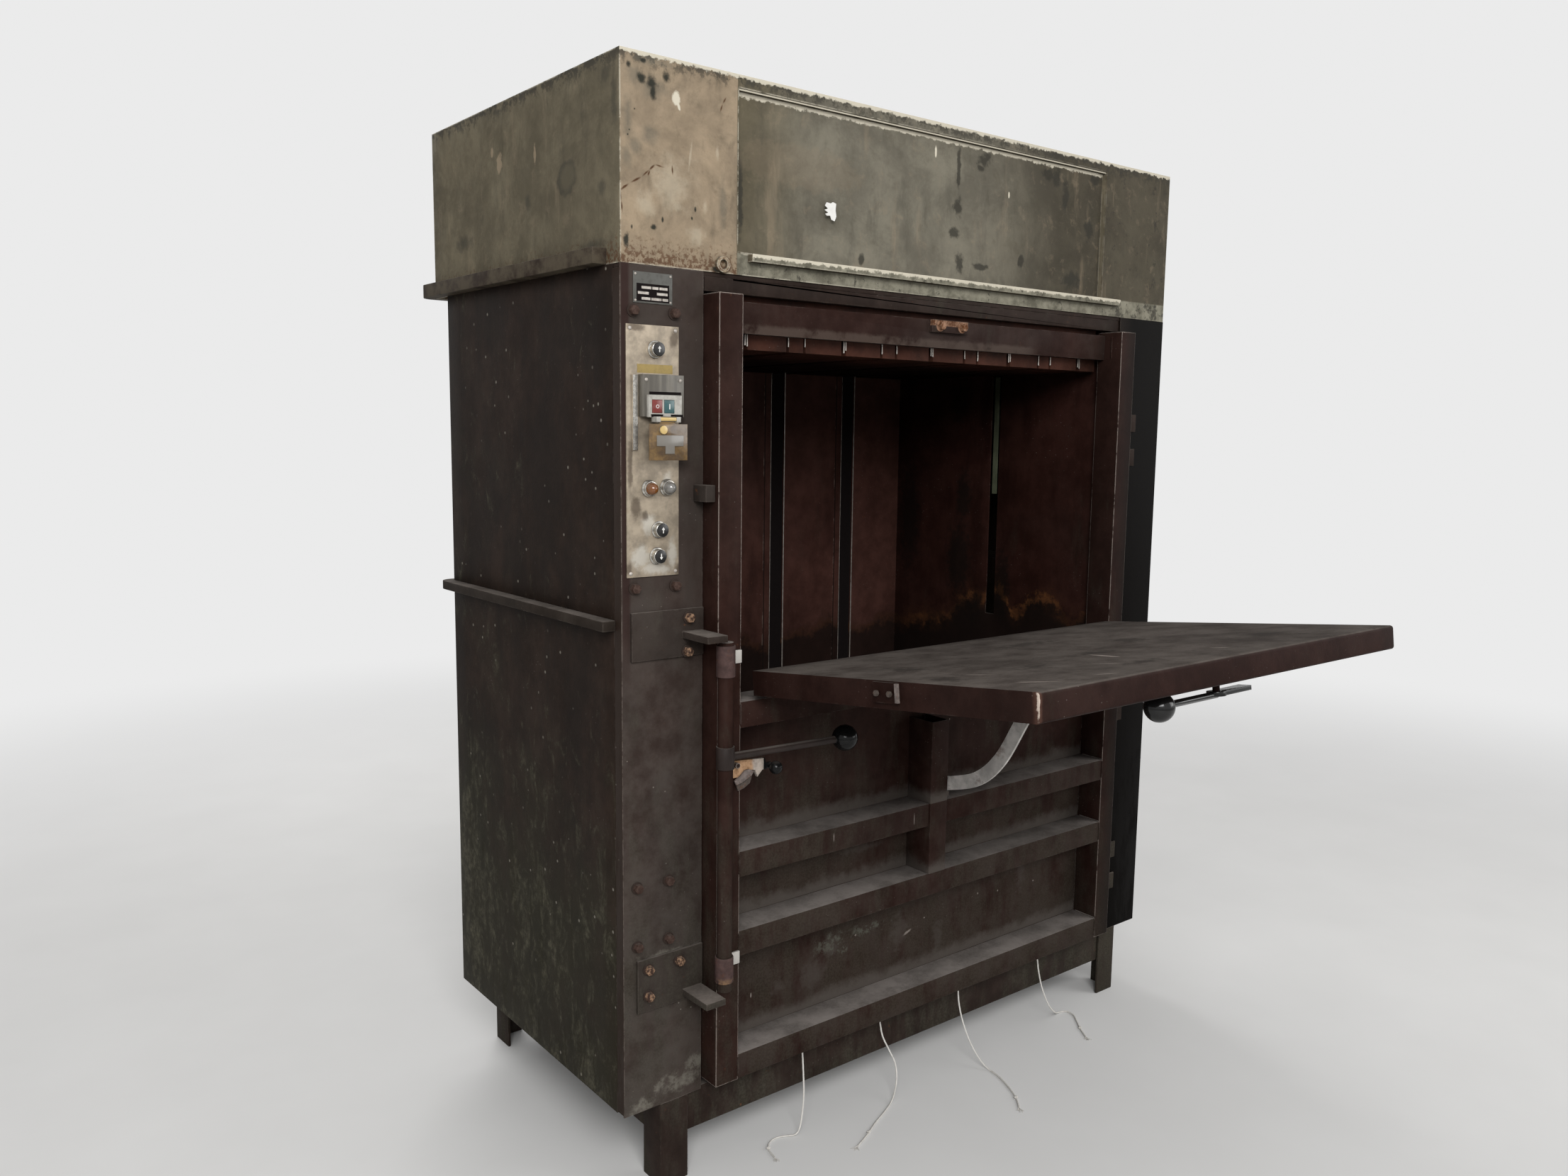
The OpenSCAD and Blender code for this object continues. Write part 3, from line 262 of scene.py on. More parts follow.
def worn_paint(name, base, mildew=0.5, low=0.5, dust=0.8, wear=0.6, streaks=0.4, rust=0.2, film=0.12,
               edge_r=0.0036, extra=None, top=1.0, bare=WORN, over=None, top_dust=DUST):
    """Old paint: a thin film of dirt, mildew in streaks that thicken towards the floor, pale dust on
    what faces up, bare metal along the edges and spots of rust. extra and over add what one piece
    alone has, below the dust and above it. top scales the dust's colour, top_dust."""
    s = Shader(name, specular=0.03)
    z = s.z
    broad = s.noise(2.4, 6, 0.62, distortion=0.5)
    s.grain = s.noise(14, 7, 0.68)
    grit = s.noise(240, 3, 0.6)
    drip = s.noise(1.0, 6, 0.66, vector=s.scaled((24, 24, 6.5)))
    s.tone = s.mix(s.step(s.grain, 0.32, 0.7), times(base, 0.72), times(base, 1.22))
    veil = s.both(s.step(s.add(broad, s.grain, 0.4), 0.55, 0.95), film)
    s.lay(times(DUST, 0.4), veil)
    dark = s.both(s.step(s.noise(1.0, 5, 0.6, vector=s.scaled((8, 8, 2.6), (4, 2, 7))), 0.5, 0.7), streaks)
    s.lay(times(base, 0.42), dark)
    near_floor = s.step(z, 1.15, 0.18, 0, 0.34 * low)
    growth = s.add(s.math("MULTIPLY", broad, 0.5), s.add(drip, near_floor))
    patch = s.both(s.step(growth, 0.8, 1.08), mildew)
    s.lay(s.mix(s.step(grit, 0.35, 0.65), times(MILDEW, 0.55), MILDEW), patch)
    fleck = s.both(s.step(s.cells(95), 0.1, 0.05), s.step(s.noise(7, 3), 0.5, 0.66), 0.6)
    s.lay(times(DUST, 1.7), fleck)
    speck = s.both(s.step(s.cells(330), 0.15, 0.08), s.step(s.noise(11, 3), 0.5, 0.68), 0.45)
    s.lay(times(DUST, 0.9), speck)
    spots = s.both(s.step(s.noise(44, 6, 0.72), 0.68 - 0.09 * rust, 0.75), min(1.0, 1.4 * rust))
    s.lay(RUST, spots)
    if extra:
        extra(s)
    up = s.facing(2, 0.55, 0.9)
    uneven = s.add(s.grain, grit, 0.35)
    lying = s.both(up, s.step(uneven, 0.42, 0.8, 0.6, 1.0), dust)
    drifts = s.add(s.math("MULTIPLY", s.grain, 0.35), s.noise(3.3, 7, 0.7), 0.65)
    s.lay(s.mix(s.step(drifts, 0.36, 0.64), times(top_dust, 0.75 * top), times(top_dust, 1.3 * top)), lying)
    edge = s.both(s.edges(edge_r), s.step(s.noise(24, 6, 0.75), 0.62 - 0.3 * wear, 0.7 - 0.26 * wear),
        min(1.0, wear))
    s.lay(bare, edge)
    if over:
        over(s)
    rough = s.step(s.add(patch, lying), 0.0, 0.8, 0.5, 0.9)
    if s.knob:
        rough = s.step(s.knob, 0, 1, rough, 0.12)
        s.bsdf.inputs["Specular IOR Level"].default_value = 0.2
    s.bump(s.noise(4.5, 2), 0.2, 0.006)
    s.bump(s.grain, 0.25, 0.001)
    s.bump(s.add(grit, patch, 0.6), 0.3, 0.0006)
    s.finish(rough, s.both(edge, 0.5))


def bare_metal(name, base, rust=0.3, roughness=0.38, scale=60.0, metallic=0.85, extra=None, dust=0.5):
    """Bare or plated metal, with stains, fine scratches and patches of rust."""
    s = Shader(name, roughness, metallic, 0.5 if metallic > 0.3 else 0.15)
    s.grain = s.noise(scale, 6, 0.65)
    spots = s.step(s.noise(scale * 0.7, 6, 0.7), 0.62 - 0.25 * rust, 0.72 - 0.2 * rust)
    spots = s.both(spots, min(1.0, rust * 1.6))
    s.tone = s.mix(s.step(s.grain, 0.3, 0.7), times(base, 0.6), times(base, 1.1))
    s.lay(s.mix(s.noise(300, 3), RUST, times(RUST, 0.4)), spots)
    if extra:
        extra(s)
    up = s.both(s.facing(2, 0.6, 0.95), dust)
    s.lay(DUST, up)
    s.bump(s.noise(700, 3), 0.2, 0.0003)
    s.bump(spots, 0.4, 0.0006)
    rough, metal = s.step(spots, 0, 1, roughness, 0.9), s.step(spots, 0, 1, metallic, 0.1)
    if s.knob:
        rough, metal = s.step(s.knob, 0, 1, rough, 0.12), s.step(s.knob, 0, 1, metal, 0)
    s.finish(rough, metal)


def plastic(name, base, roughness=0.35, dirt=0.3, dirt_colour=DUST, clear=0.0, extra=None, specular=0.5):
    """Moulded plastic with a fine grain, dirt in its hollows and a dull bloom."""
    s = Shader(name, roughness, 0.0, specular)
    s.grain = s.both(s.step(s.noise(90, 5, 0.65), 0.42, 0.75), dirt)
    s.tone = s.mix(s.grain, base, dirt_colour)
    if extra:
        extra(s)
    up = s.both(s.facing(2, 0.3, 1.0), dirt * 0.8)
    s.lay(dirt_colour, up)
    s.bump(s.noise(900, 2), 0.08, 0.0002)
    if clear:
        s.bsdf.inputs["Coat Weight"].default_value = clear
        s.bsdf.inputs["Coat Roughness"].default_value = 0.1
    s.finish(s.step(s.grain, 0, 1, roughness, 0.8))


def stroke(a, b, wide, past=0.0, turn=1):
    """The row of a long thin spot from a to b, that runs past each by a little."""
    mid = ((a[0] + b[0]) / 2, (a[1] + b[1]) / 2)
    return mid, (math.dist(a, b) / 2 + past, wide), turn * math.degrees(math.atan2(b[1] - a[1], b[0] - a[0]))


# The hood: the paints of its panels from left to right, its dirt, and the marks on its front
HOOD_SIDE = (0.133, 0.114, 0.076)
HOOD_TAN = (0.258, 0.2, 0.136)
HOOD_MID = (0.146, 0.134, 0.103)
HOOD_RIGHT = (0.061, 0.053, 0.037)
HOOD_DARK = (0.032, 0.03, 0.024)
mould = [((-689, 1956), (15, 15)), ((-686, 1940), (8, 18)), ((-708, 1958), (12, 13)), ((-660, 1969), (13, 13)),
         ((-733, 1976), (7, 7)), ((-706, 1986), (8, 5)), ((-560, 1668), (12, 9)), ((-738, 1700), (7, 16)),
         ((-602, 1763), (3, 6)), ((-609, 1748), (3, 4)), ((-668, 1739), (3, 6)), ((-686, 1725), (7, 6)),
         ((-728, 1721), (3, 5)), ((-722, 1908), (2, 2)), ((-732, 1874), (2, 2)), ((-735, 1866), (2, 2))]
blots = [((47, 1925), (7, 62)), ((49, 1848), (17, 24)), ((124, 1950), (27, 18), 20), ((112, 1934), (14, 8)),
         ((386, 1906), (13, 46)), ((39, 1796), (19, 13), 25), ((58, 1735), (15, 24)), ((122, 1736), (28, 8)),
         ((418, 1734), (42, 24)), ((327, 1948), (24, 16)), ((352, 1948), (16, 26)), ((-500, 1800), (8, 90)),
         ((470, 1850), (18, 30)), ((-210, 1720), (9, 13)), ((245, 1760), (12, 16)), ((486, 1958), (22, 12))]
pale_spots = [((-641, 1938), (9, 13)), ((-636, 1926), (3, 10), 20), ((-19, 1946), (3, 12)),
              ((200, 1890), (3, 8))]
smears = [((-557, 1864), (5, 17)), ((-582, 1772), (7, 16)), ((-639, 1765), (14, 17)),
          ((-613, 1848), (3, 44), -8), ((-650, 1800), (60, 60)), ((-600, 1720), (26, 24)),
          ((-700, 1760), (24, 30))]
crack_lines = [[(-751, 1776), (-732, 1790), (-709, 1803), (-694, 1816), (-683, 1826), (-665, 1824)],
               [(-649, 1829), (-648, 1814)], [(-750, 1777), (-748, 1760), (-746, 1742)],
               [(-539, 1957), (-546, 1946), (-551, 1932)], [(-693, 1815), (-697, 1806)]]
cracks = [stroke(a, b, 2.5, 2.5) for line in crack_lines for a, b in zip(line, line[1:])]
smudges = [((-735, 1890), (12, 50)), ((-688, 1948), (44, 28)), ((-737, 1831), (14, 26)),
           ((-691, 1872), (24, 22)), ((-690, 1988), (56, 12)), ((-545, 1780), (12, 60)),
           ((-722, 1962), (24, 26)), ((-722, 1850), (16, 22))]


def hood_ground(s):
    """The paint under every mark on the hood, panel by panel. Gives the mask of its front."""
    x, z, nx = s.x, s.z, s.axis(s.normal, 0)
    front = s.facing(1, -0.5, -0.8)
    tan_area = s.both(front, s.step(x, -0.514, -0.516))
    right_area = s.both(front, s.step(x, 0.514, 0.516))
    mottle = s.noise(7, 7, 0.7, distortion=0.3)
    drip = s.noise(1.0, 6, 0.68, vector=s.scaled((26, 26, 7), (1, 6, 2)))

    def wall(light):
        return s.mix(s.step(mottle, 0.35, 0.66), times(light, 0.72), times(light, 1.14))

    side = s.step(nx, -0.5, -0.8)
    middle = s.mix(s.step(x, 0.02, 0.42), wall(HOOD_MID), wall(times(HOOD_RIGHT, 0.92)))
    middle = s.mix(s.step(x, -0.3, -0.5), middle, wall((0.09, 0.077, 0.05)))
    s.tone = s.mix(front, wall(HOOD_RIGHT), middle)
    s.lay(wall(HOOD_SIDE), side)
    s.lay(wall(HOOD_RIGHT), right_area)
    s.lay(wall(HOOD_TAN), tan_area)
    s.lay(HOOD_DARK, s.step(drip, 0.52, 0.74), 0.36)
    sponge = s.noise(30, 7, 0.72, distortion=0.4)
    s.lay(times(HOOD_SIDE, 0.45), s.step(sponge, 0.5, 0.68), 0.28)
    s.lay(HOOD_TAN, s.step(sponge, 0.46, 0.32), 0.2)
    s.lay(times(HOOD_TAN, 1.05), s.step(s.noise(1.0, 5, 0.6, vector=s.scaled((22, 22, 4.0), (9, 3, 5))), 0.58,
        0.75), 0.3)
    low_edge = s.step(z, 1.74, 1.665)
    rim = s.step(z, 1.955, 1.998)
    crust = s.step(s.add(s.noise(120, 5, 0.7), low_edge, 0.16), 0.6, 0.7)
    crust = s.both(crust, s.math("MAXIMUM", low_edge, 0.2), s.math("MAXIMUM", tan_area, side), 0.8)
    s.lay(times(RUST, 0.45), crust)
    hem = s.both(front, s.step(z, 1.703, 1.699), s.step(x, -0.516, -0.512))
    pitted = s.mix(s.step(s.noise(24, 6, 0.7), 0.36, 0.64), (0.235, 0.222, 0.17), (0.1, 0.094, 0.07))
    pitted = s.mix(s.both(s.step(s.noise(60, 5, 0.7), 0.58, 0.66), 0.85), pitted, times(HOOD_DARK, 1.2))
    s.lay(pitted, hem, 0.92)
    moss = s.step(s.add(s.noise(38, 6, 0.72), low_edge, 0.1), 0.58, 0.68)
    s.lay(times(HOOD_DARK, 0.8), moss, right_area, 0.75)
    fringe = s.step(s.add(s.noise(46, 6, 0.75), rim, 0.2), 0.6, 0.72)
    s.lay(HOOD_DARK, fringe, s.math("MAXIMUM", rim, 0.12), 0.85)
    s.lay(times(DUST, 0.9), s.step(s.grain, 0.3, 0.7, 0, 0.15))
    return front


def hood_paint(name, place):
    """place is shell, cover or rail."""
    s = Shader(name, specular=0.05)
    x, z = s.x, s.z
    s.grain = s.noise(18, 7, 0.68)
    grit = s.noise(260, 3, 0.6)
    front = hood_ground(s)
    if place == "shell":
        s.lay((0.088, 0.084, 0.068), s.spots(smudges, jag=1.4, soft=0.9), front, 0.5)
        s.lay((0.42, 0.37, 0.28), s.spots(smears, jag=1.8, soft=0.9), front, 0.4)
        s.lay((0.02, 0.021, 0.017), s.spots(mould, jag=1.6, soft=0.75), front, 0.95)
        s.lay(times(RUST, 0.35), s.spots(cracks, jag=1.1, soft=0.8), front, 0.9)
        thumb = s.spot((181, 1823), (40, 33), 20, across=0, jag=0.7, soft=0.25)
        inner = s.spot((178, 1824), (35, 28), 20, across=0, jag=0.7, soft=0.5)
        sides = s.spots([((329, 1803), (14, 22)), ((620, 1760), (60, 20)), ((60, 1790), (16, 20)),
            ((18, 1925), (14, 60)), ((46, 1965), (26, 26)), ((90, 1700), (60, 12))], across=0, jag=1.6,
            soft=0.8)
        on_side = s.facing(0, -0.5, -0.8)
        s.lay(times(HOOD_DARK, 1.4), sides, on_side, 0.6)
        s.lay(times(HOOD_DARK, 1.5), thumb, on_side, 0.66)
        s.lay(HOOD_SIDE, inner, on_side, 0.42)
        s.lay(times(HOOD_TAN, 1.2), s.spots([((449, 1892), (14, 22)), ((480, 1915), (6, 12)),
            ((300, 1880), (5, 20))], across=0), on_side, 0.6)
    if place == "cover":
        s.lay(HOOD_DARK, s.spots(blots, soft=0.6), 0.85)
        wipe = s.spot((-360, 1868), (170, 46), jag=1.2, soft=0.3)
        s.lay(times(HOOD_TAN, 0.7), wipe, 0.22)
    s.lay(CREAM, s.spots(pale_spots, jag=1.6), front)
    tops = {"shell": 2.0, "cover": 1.978, "rail": 1.7}
    ragged_z = s.add(z, s.math("SUBTRACT", s.noise(75, 6, 0.75), 0.5), 0.024)
    deep = {"shell": 0.0075, "cover": 0.011, "rail": 0.0075}
    line = s.step(ragged_z, tops[place] - deep[place], tops[place] - deep[place] + 0.003)
    s.lay(CREAM, line, front, 0.9)
    edge = s.both(s.edges(0.0045), s.step(s.noise(26, 6, 0.75), 0.42, 0.52), s.step(x, 0.3, -0.6, 0.25, 1.0))
    s.lay(CREAM, edge, 0.9)
    up = s.both(s.facing(2, 0.55, 0.9), 0.85)
    drifts = s.add(s.math("MULTIPLY", s.grain, 0.3), s.noise(2.6, 8, 0.72), 0.7)
    lying = s.mix(s.step(drifts, 0.38, 0.64), times(DUST, 0.9), times(CREAM, 0.42))
    lying = s.mix(s.both(s.step(s.noise(60, 5, 0.7), 0.58, 0.68), 0.5), lying, times(DUST, 0.5))
    s.lay(lying, up)
    s.bump(s.noise(4.5, 2), 0.2, 0.006)
    s.bump(s.grain, 0.25, 0.001)
    s.bump(grit, 0.3, 0.0006)
    s.finish(s.step(s.grain, 0.3, 0.7, 0.55, 0.85))


# Height of the rust line on the side walls against depth, as parts of 0.8 to 1.05 m and of 0.7 m
TIDE = [(0, 0.64), (0.03, 0.65), (0.09, 0.52), (0.165, 0.64), (0.21, 0.72), (0.29, 0.69), (0.34, 0.52),
        (0.4, 0.64), (0.45, 0.78), (0.52, 0.65), (0.55, 0.66), (0.63, 0.58), (0.7, 0.39), (0.81, 0.33),
        (0.91, 0.26), (1, 0.25)]


def chamber_extra(s):
    """A faint rust line that wanders above the black, soaked foot of the walls, and stains."""
    z = s.z
    on_side = s.step(s.math("ABSOLUTE", s.axis(s.normal, 0)), 0.5, 0.8)
    depth = s.node("ShaderNodeMapRange", {"Value": s.y, "From Min": front_y, "From Max": front_y + 0.7})
    rise = s.node("ShaderNodeMapRange", {"Value": s.curve(depth, TIDE), "To Min": 0.8, "To Max": 1.05})
    slow = s.math("SUBTRACT", s.noise(4.2, 2, 0.5, vector=s.scaled((1, 0, 0.0), (0, 3, 0))), 0.5)
    fine = s.math("SUBTRACT", s.noise(24, 6, 0.7), 0.5)
    wander = s.add(s.math("MULTIPLY", slow, 0.2), fine, 0.1)
    level = s.math("SUBTRACT", s.add(z, wander), rise)
    s.lay(times(GRIME, 0.55), s.step(level, 0.03, -0.02), 0.8)
    worst = s.step(s.noise(7, 4, 0.6), 0.38, 0.6)
    ring = s.both(s.step(level, -0.02, -0.003), s.step(level, 0.02, 0.0),
        s.step(s.noise(52, 6, 0.72), 0.34, 0.52), s.math("MAXIMUM", s.both(on_side, worst), 0.1))
    s.lay((0.135, 0.054, 0.02), ring)
    halo = s.both(s.step(level, -0.05, -0.01), s.step(level, 0.06, 0.01), s.step(s.grain, 0.4, 0.6), on_side,
        0.4)
    s.lay((0.04, 0.0165, 0.009), halo)
    stains = s.spots([((451, 1060), (60, 130)), ((440, 1230), (36, 90)), ((641, 1160), (60, 200)),
        ((461, 1480), (50, 80)), ((300, 1010), (40, 120))], across=0, jag=1.4, soft=0.7)
    s.lay(times(GRIME, 0.5), stains, on_side, 0.75)
    # Painted shade: faces that look down are darkened
    under = s.facing(2, -0.5, -0.8)
    s.lay(times(GRIME, 0.3), under, 0.8)


SLOT_XS = (118, -118, 355, -355)


def rear_extra(s):
    """Painted shade in a groove beside each slot, and a painted highlight where the folds catch a little light
    along their edges.
    """
    chamber_extra(s)
    x = s.x
    for slot in SLOT_XS:
        off = s.math("SUBTRACT", x, (slot - 40) * MM)
        groove_shade = s.step(s.math("ABSOLUTE", off), 0.0022, 0.0012)
        lit = s.both(s.step(s.math("ABSOLUTE", s.math("SUBTRACT", off, -0.003)), 0.0016, 0.0008),
            s.step(s.noise(17, 6, 0.75), 0.5, 0.62), 0.7)
        s.lay(times(GRIME, 0.6), groove_shade, 0.8)
        s.lay((0.16, 0.12, 0.1), lit)


def platen_extra(s):
    """Painted shade: the platen is maroon in front and is painted darker behind, deeper in the chamber."""
    back = s.step(s.y, front_y + 0.1, front_y + 0.36)
    s.lay(times(GRIME, 0.4), back, 0.85)
    soot = s.step(s.noise(9, 5, 0.65), 0.45, 0.68)
    s.lay(times(GRIME, 0.8), soot, 0.6)


DOOR_MARKS = [((91, 399), (6, 3)), ((378, 344), (2.5, 2.5)), ((254, 348), (2, 2.5)), ((187, 357), (2, 3)),
              ((-184, 354), (4, 3)), ((482, 404), (2.5, 3)), ((-248, 560), (3, 2.5)), ((78, 777), (2, 3)),
              ((-455, 303), (2, 6)), ((-305, 607), (1.6, 12)), ((-87, 602), (1.4, 15)), ((-65, 558), (1.3, 9)),
              ((-140, 573), (15, 3.5), 8), ((88, 575), (22, 1.6), 5), ((17, 342), (2.5, 2)),
              ((-34, 322), (14, 4), 20)]


def door_extra(s):
    """Dust that has crept up the sheet from each rib, and splashed dirt over the lower ribs."""
    z = s.z
    # Painted shade: the right-hand end of the door is darkened
    far_side_shade(s)
    frayed = s.add(z, s.math("SUBTRACT", s.noise(20, 6, 0.72), 0.5), 0.05)
    splash = s.both(s.step(z, 0.85, 0.2), s.step(s.grain, 0.36, 0.66), 0.42)
    s.lay((0.036, 0.031, 0.027), splash)
    for top in RIB_TOPS[:3]:
        drift = s.both(s.step(z, (top - 0.5) * MM, (top + 0.5) * MM),
            s.step(frayed, (top + 34) * MM, (top + 6) * MM), s.step(s.y, front_y - 0.059, front_y - 0.055))
        s.lay(times(DUST, 0.72), drift, 0.8)
    blob = s.spots([((-300, 305), (46, 40)), ((-250, 350), (26, 34)), ((-60, 330), (34, 52)),
        ((60, 290), (20, 60)), ((-390, 300), (24, 20)), ((330, 380), (20, 60)), ((-180, 540), (70, 12))],
        jag=2.4, soft=0.8)
    s.lay(times(DUST, 0.6), blob, 0.35)
    lichen = s.spots([((-250, 352), (48, 26)), ((-222, 338), (26, 20)), ((-150, 360), (60, 16))], jag=2.8,
        soft=0.6)
    s.lay((0.075, 0.074, 0.06), lichen, s.step(s.noise(70, 5, 0.7), 0.44, 0.58), 0.75)
    s.lay(times(DUST, 1.9), s.spots(DOOR_MARKS, jag=1.4, soft=0.6), 0.8)


FLAP_LINES = [((-446, -594), (-407, -660), 4), ((-404, -462), (-382, -516), 3), ((-94, -462), (-111, -553), 7),
              ((-330, -650), (-290, -676), 2.5), ((-210, -560), (-180, -610), 2.5), ((60, -600), (76, -640), 3)]
FLAP_MARKS = [stroke(a, b, wide, turn=-1) for a, b, wide in FLAP_LINES]
FLAP_STAINS = [((-391, -320), (40, 60)), ((-276, -501), (60, 36)), ((-72, -461), (80, 30)),
               ((140, -380), (60, 60)), ((-150, -620), (70, 24)), ((300, -560), (70, 40)),
               ((-460, -480), (30, 60)), ((20, -230), (110, 40))]


def flap_over(s):
    """Dark stains and scratches on the flap's top, and a bare, bright fold at its near corner."""
    z, up = s.z, s.facing(2, 0.8, 0.95)
    s.lay(times(DUST, 0.3), s.spots(FLAP_STAINS, across=2, jag=2.6, soft=0.9), up, 0.7)
    fine = s.step(s.noise(46, 6, 0.72), 0.6, 0.68)
    s.lay(times(DUST, 0.32), fine, up, 0.6)
    s.lay(times(DUST, 2.6), s.spots(FLAP_MARKS, across=2, jag=1.1, soft=0.6), up, 0.9)
    nick = s.both(s.edges(0.0034), s.step(s.y, front_y - 0.69, front_y - 0.7),
        s.step(s.noise(12, 6, 0.8), 0.5, 0.56), s.step(z, 1.026, 1.03))
    s.lay((0.36, 0.3, 0.25), nick)
    x, y = s.x, s.y
    dx, dy = s.math("SUBTRACT", x, -0.5175), s.math("SUBTRACT", y, front_y - 0.7065)
    far = s.math("SQRT", s.add(s.math("MULTIPLY", dx, dx), dy, dy))
    wide = s.add(far, s.ragged(), 0.01)
    high = s.step(z, 1.0, 1.036, 0.0, 0.003)
    patch = s.step(s.math("SUBTRACT", wide, high), 0.013, 0.005)
    s.lay((0.12, 0.062, 0.045), patch, 0.4)
    fold = s.step(s.math("SUBTRACT", wide, high), 0.0052, 0.0036)
    s.lay((0.48, 0.4, 0.34), fold, 0.9)


def plate_extra(s):
    """Wiped pale round the lower buttons, brown where damp ran down."""
    pale = s.spots([((-716, 1172), (24, 30)), ((-690, 1155), (44, 13)), ((-652, 1180), (13, 34)),
        ((-700, 1230), (18, 26)), ((-660, 1300), (12, 24))], jag=1.5, soft=0.7)
    s.lay((0.52, 0.49, 0.43), pale, 0.8)
    brown = s.spots([((-724, 1262), (13, 26)), ((-738, 1158), (9, 15)), ((-706, 1246), (9, 12)),
        ((-735, 1330), (7, 60)), ((-640, 1150), (10, 18)), ((-725, 1560), (26, 8)), ((-648, 1545), (12, 24))],
        jag=1.6, soft=0.7)
    s.lay((0.09, 0.066, 0.045), brown, 0.8)


def housing_extra(s):
    """The housing is a grey metal plate, and only the switch body on it is white plastic."""
    y = s.y
    body = s.step(y, front_y - 0.0172, front_y - 0.0176)
    grey = s.mix(s.step(s.noise(1.0, 5, 0.6, vector=s.scaled((90, 90, 6))), 0.35, 0.7), (0.062, 0.055, 0.044),
        (0.12, 0.108, 0.088))
    s.tone = s.mix(body, grey, s.tone)


def cover_extra(s):
    """The T-piece on the cover is grey metal, and its knob is bright brass."""
    y, z = s.y, s.z
    s.lay((0.17, 0.1, 0.032), s.step(s.noise(30, 5, 0.7), 0.45, 0.65))
    dark = s.step(s.noise(26, 5, 0.7, vector=s.scaled((1, 1, 1), (5, 5, 5))), 0.5, 0.66)
    s.lay((0.045, 0.024, 0.01), dark, 0.8)
    s.lay((0.15, 0.138, 0.12), s.step(y, front_y - 0.0302, front_y - 0.0306))
    s.lay((0.5, 0.36, 0.14), s.step(y, front_y - 0.0322, front_y - 0.0326))


def bush_extra(s):
    """The little bracket beside each bush is pale, the bush itself is primed pink-grey."""
    z = s.z
    worn = s.both(s.step(z, 0.412, 0.4), s.step(z, 0.3, 0.31), s.step(s.grain, 0.4, 0.6), 0.8)
    s.lay((0.2, 0.12, 0.065), worn)
    s.lay((0.42, 0.4, 0.37), s.step(s.x, -0.5598, -0.5594))


MAROON = (0.0225, 0.0102, 0.0078)
BROWN = (0.0225, 0.0142, 0.0105)


def far_side_shade(s):
    """Painted shade: the right-hand pillar and its stile are painted darker than the left, where less light
    falls.
    """
    x = s.x
    s.lay(times(GRIME, 0.42), s.step(x, 0.5, 0.62, 0, 0.92))
    s.lay(times(GRIME, 0.16), s.step(x, 0.6, 0.64, 0, 0.9))


def side_extra(s):
    """Mottled growth in short upright streaks, thickest near the floor and the rear, and pale flecks."""
    y, z = s.y, s.z
    s.lay(times(GRIME, 0.9), s.step(s.noise(6, 6, 0.7, vector=s.scaled((1, 1, 0.5))), 0.42, 0.6), 0.6)
    streak = s.noise(1.0, 9, 0.78, vector=s.scaled((30, 30, 15)), distortion=0.7)
    broad = s.noise(5.5, 4, 0.6)
    thick = s.add(s.step(z, 1.05, 0.28, 0, 0.13), s.step(y, front_y + 0.1, front_y + 0.7, 0, 0.035))
    level = s.add(s.add(streak, thick), broad, 0.3)
    s.lay((0.021, 0.0195, 0.0125), s.step(s.add(thick, broad, 0.2), 0.13, 0.26), 0.8)
    growth = s.mix(s.step(s.noise(60, 6, 0.72), 0.36, 0.66), (0.026, 0.024, 0.0155), (0.08, 0.073, 0.051))
    s.lay(growth, s.step(level, 0.74, 0.93), 0.85)
    flecks = s.both(s.step(s.cells(30), 0.11, 0.06), s.step(s.noise(5, 4), 0.42, 0.52), 0.85)
    s.lay((0.17, 0.155, 0.13), flecks)


def pillar_over(s):
    """Pale dust hangs low on the left pillar, and a maroon strip stays clean beside its fold."""
    x, z = s.x, s.z
    haze = s.both(s.step(z, 1.2, 0.75), s.step(s.grain, 0.3, 0.7), s.step(x, 0.5, 0.3), 0.45)
    s.lay(times(DUST, 0.7), haze)
    strip = s.both(s.step(x, -0.731, -0.738), s.step(x, -0.7515, -0.7475), s.step(z, 0.9, 1.1))
    s.lay((0.022, 0.01, 0.009), strip, 0.7)
    dirt = s.spots([((-662, 450), (74, 11), 0), ((-606, 436), (30, 24)), ((-640, 196), (60, 22)),
        ((-716, 172), (34, 20)), ((-600, 216), (26, 34)), ((-655, 380), (40, 10))], jag=2.6, soft=0.8)
    s.lay((0.15, 0.138, 0.115), dirt, s.step(s.noise(34, 6, 0.72), 0.34, 0.54), 0.85)
    fold = s.facing(0, -0.6, -0.9)
    s.lay(times(BROWN, 1.15), fold, 0.85)
    flecks = s.both(s.step(s.cells(44), 0.075, 0.045), s.step(s.noise(6, 4), 0.47, 0.57), s.step(z, 1.0, 0.8),
        0.75)
    s.lay((0.19, 0.17, 0.15), flecks)
    # Painted shade: the right-hand pillar is darkened
    far_side_shade(s)


def header_extra(s):
    """The flap's keeper in the middle of the header has rusted to a pale orange."""
    # Painted shade: the right-hand end of the header is darkened
    far_side_shade(s)
    y, z = s.y, s.z
    plate = s.step(y, front_y - 0.002, front_y - 0.0025)
    bolts = s.step(y, front_y - 0.0083, front_y - 0.0087)
    band = s.step(s.math("ABSOLUTE", s.math("SUBTRACT", z, 1.6115)), 0.0062, 0.0048)
    rusty = s.mix(s.step(s.noise(90, 5, 0.7), 0.4, 0.62), (0.26, 0.15, 0.095), times(RUST, 0.5))
    s.lay(rusty, s.math("MAXIMUM", bolts, s.both(plate, band, 0.75)))
    x = s.x
    frayed = s.add(z, s.ragged(), 0.012)
    scuffed = s.both(s.step(frayed, 1.583, 1.574), s.step(x, 0.31, 0.24), s.step(s.grain, 0.3, 0.5), 0.6)
    s.lay((0.075, 0.056, 0.046), scuffed)


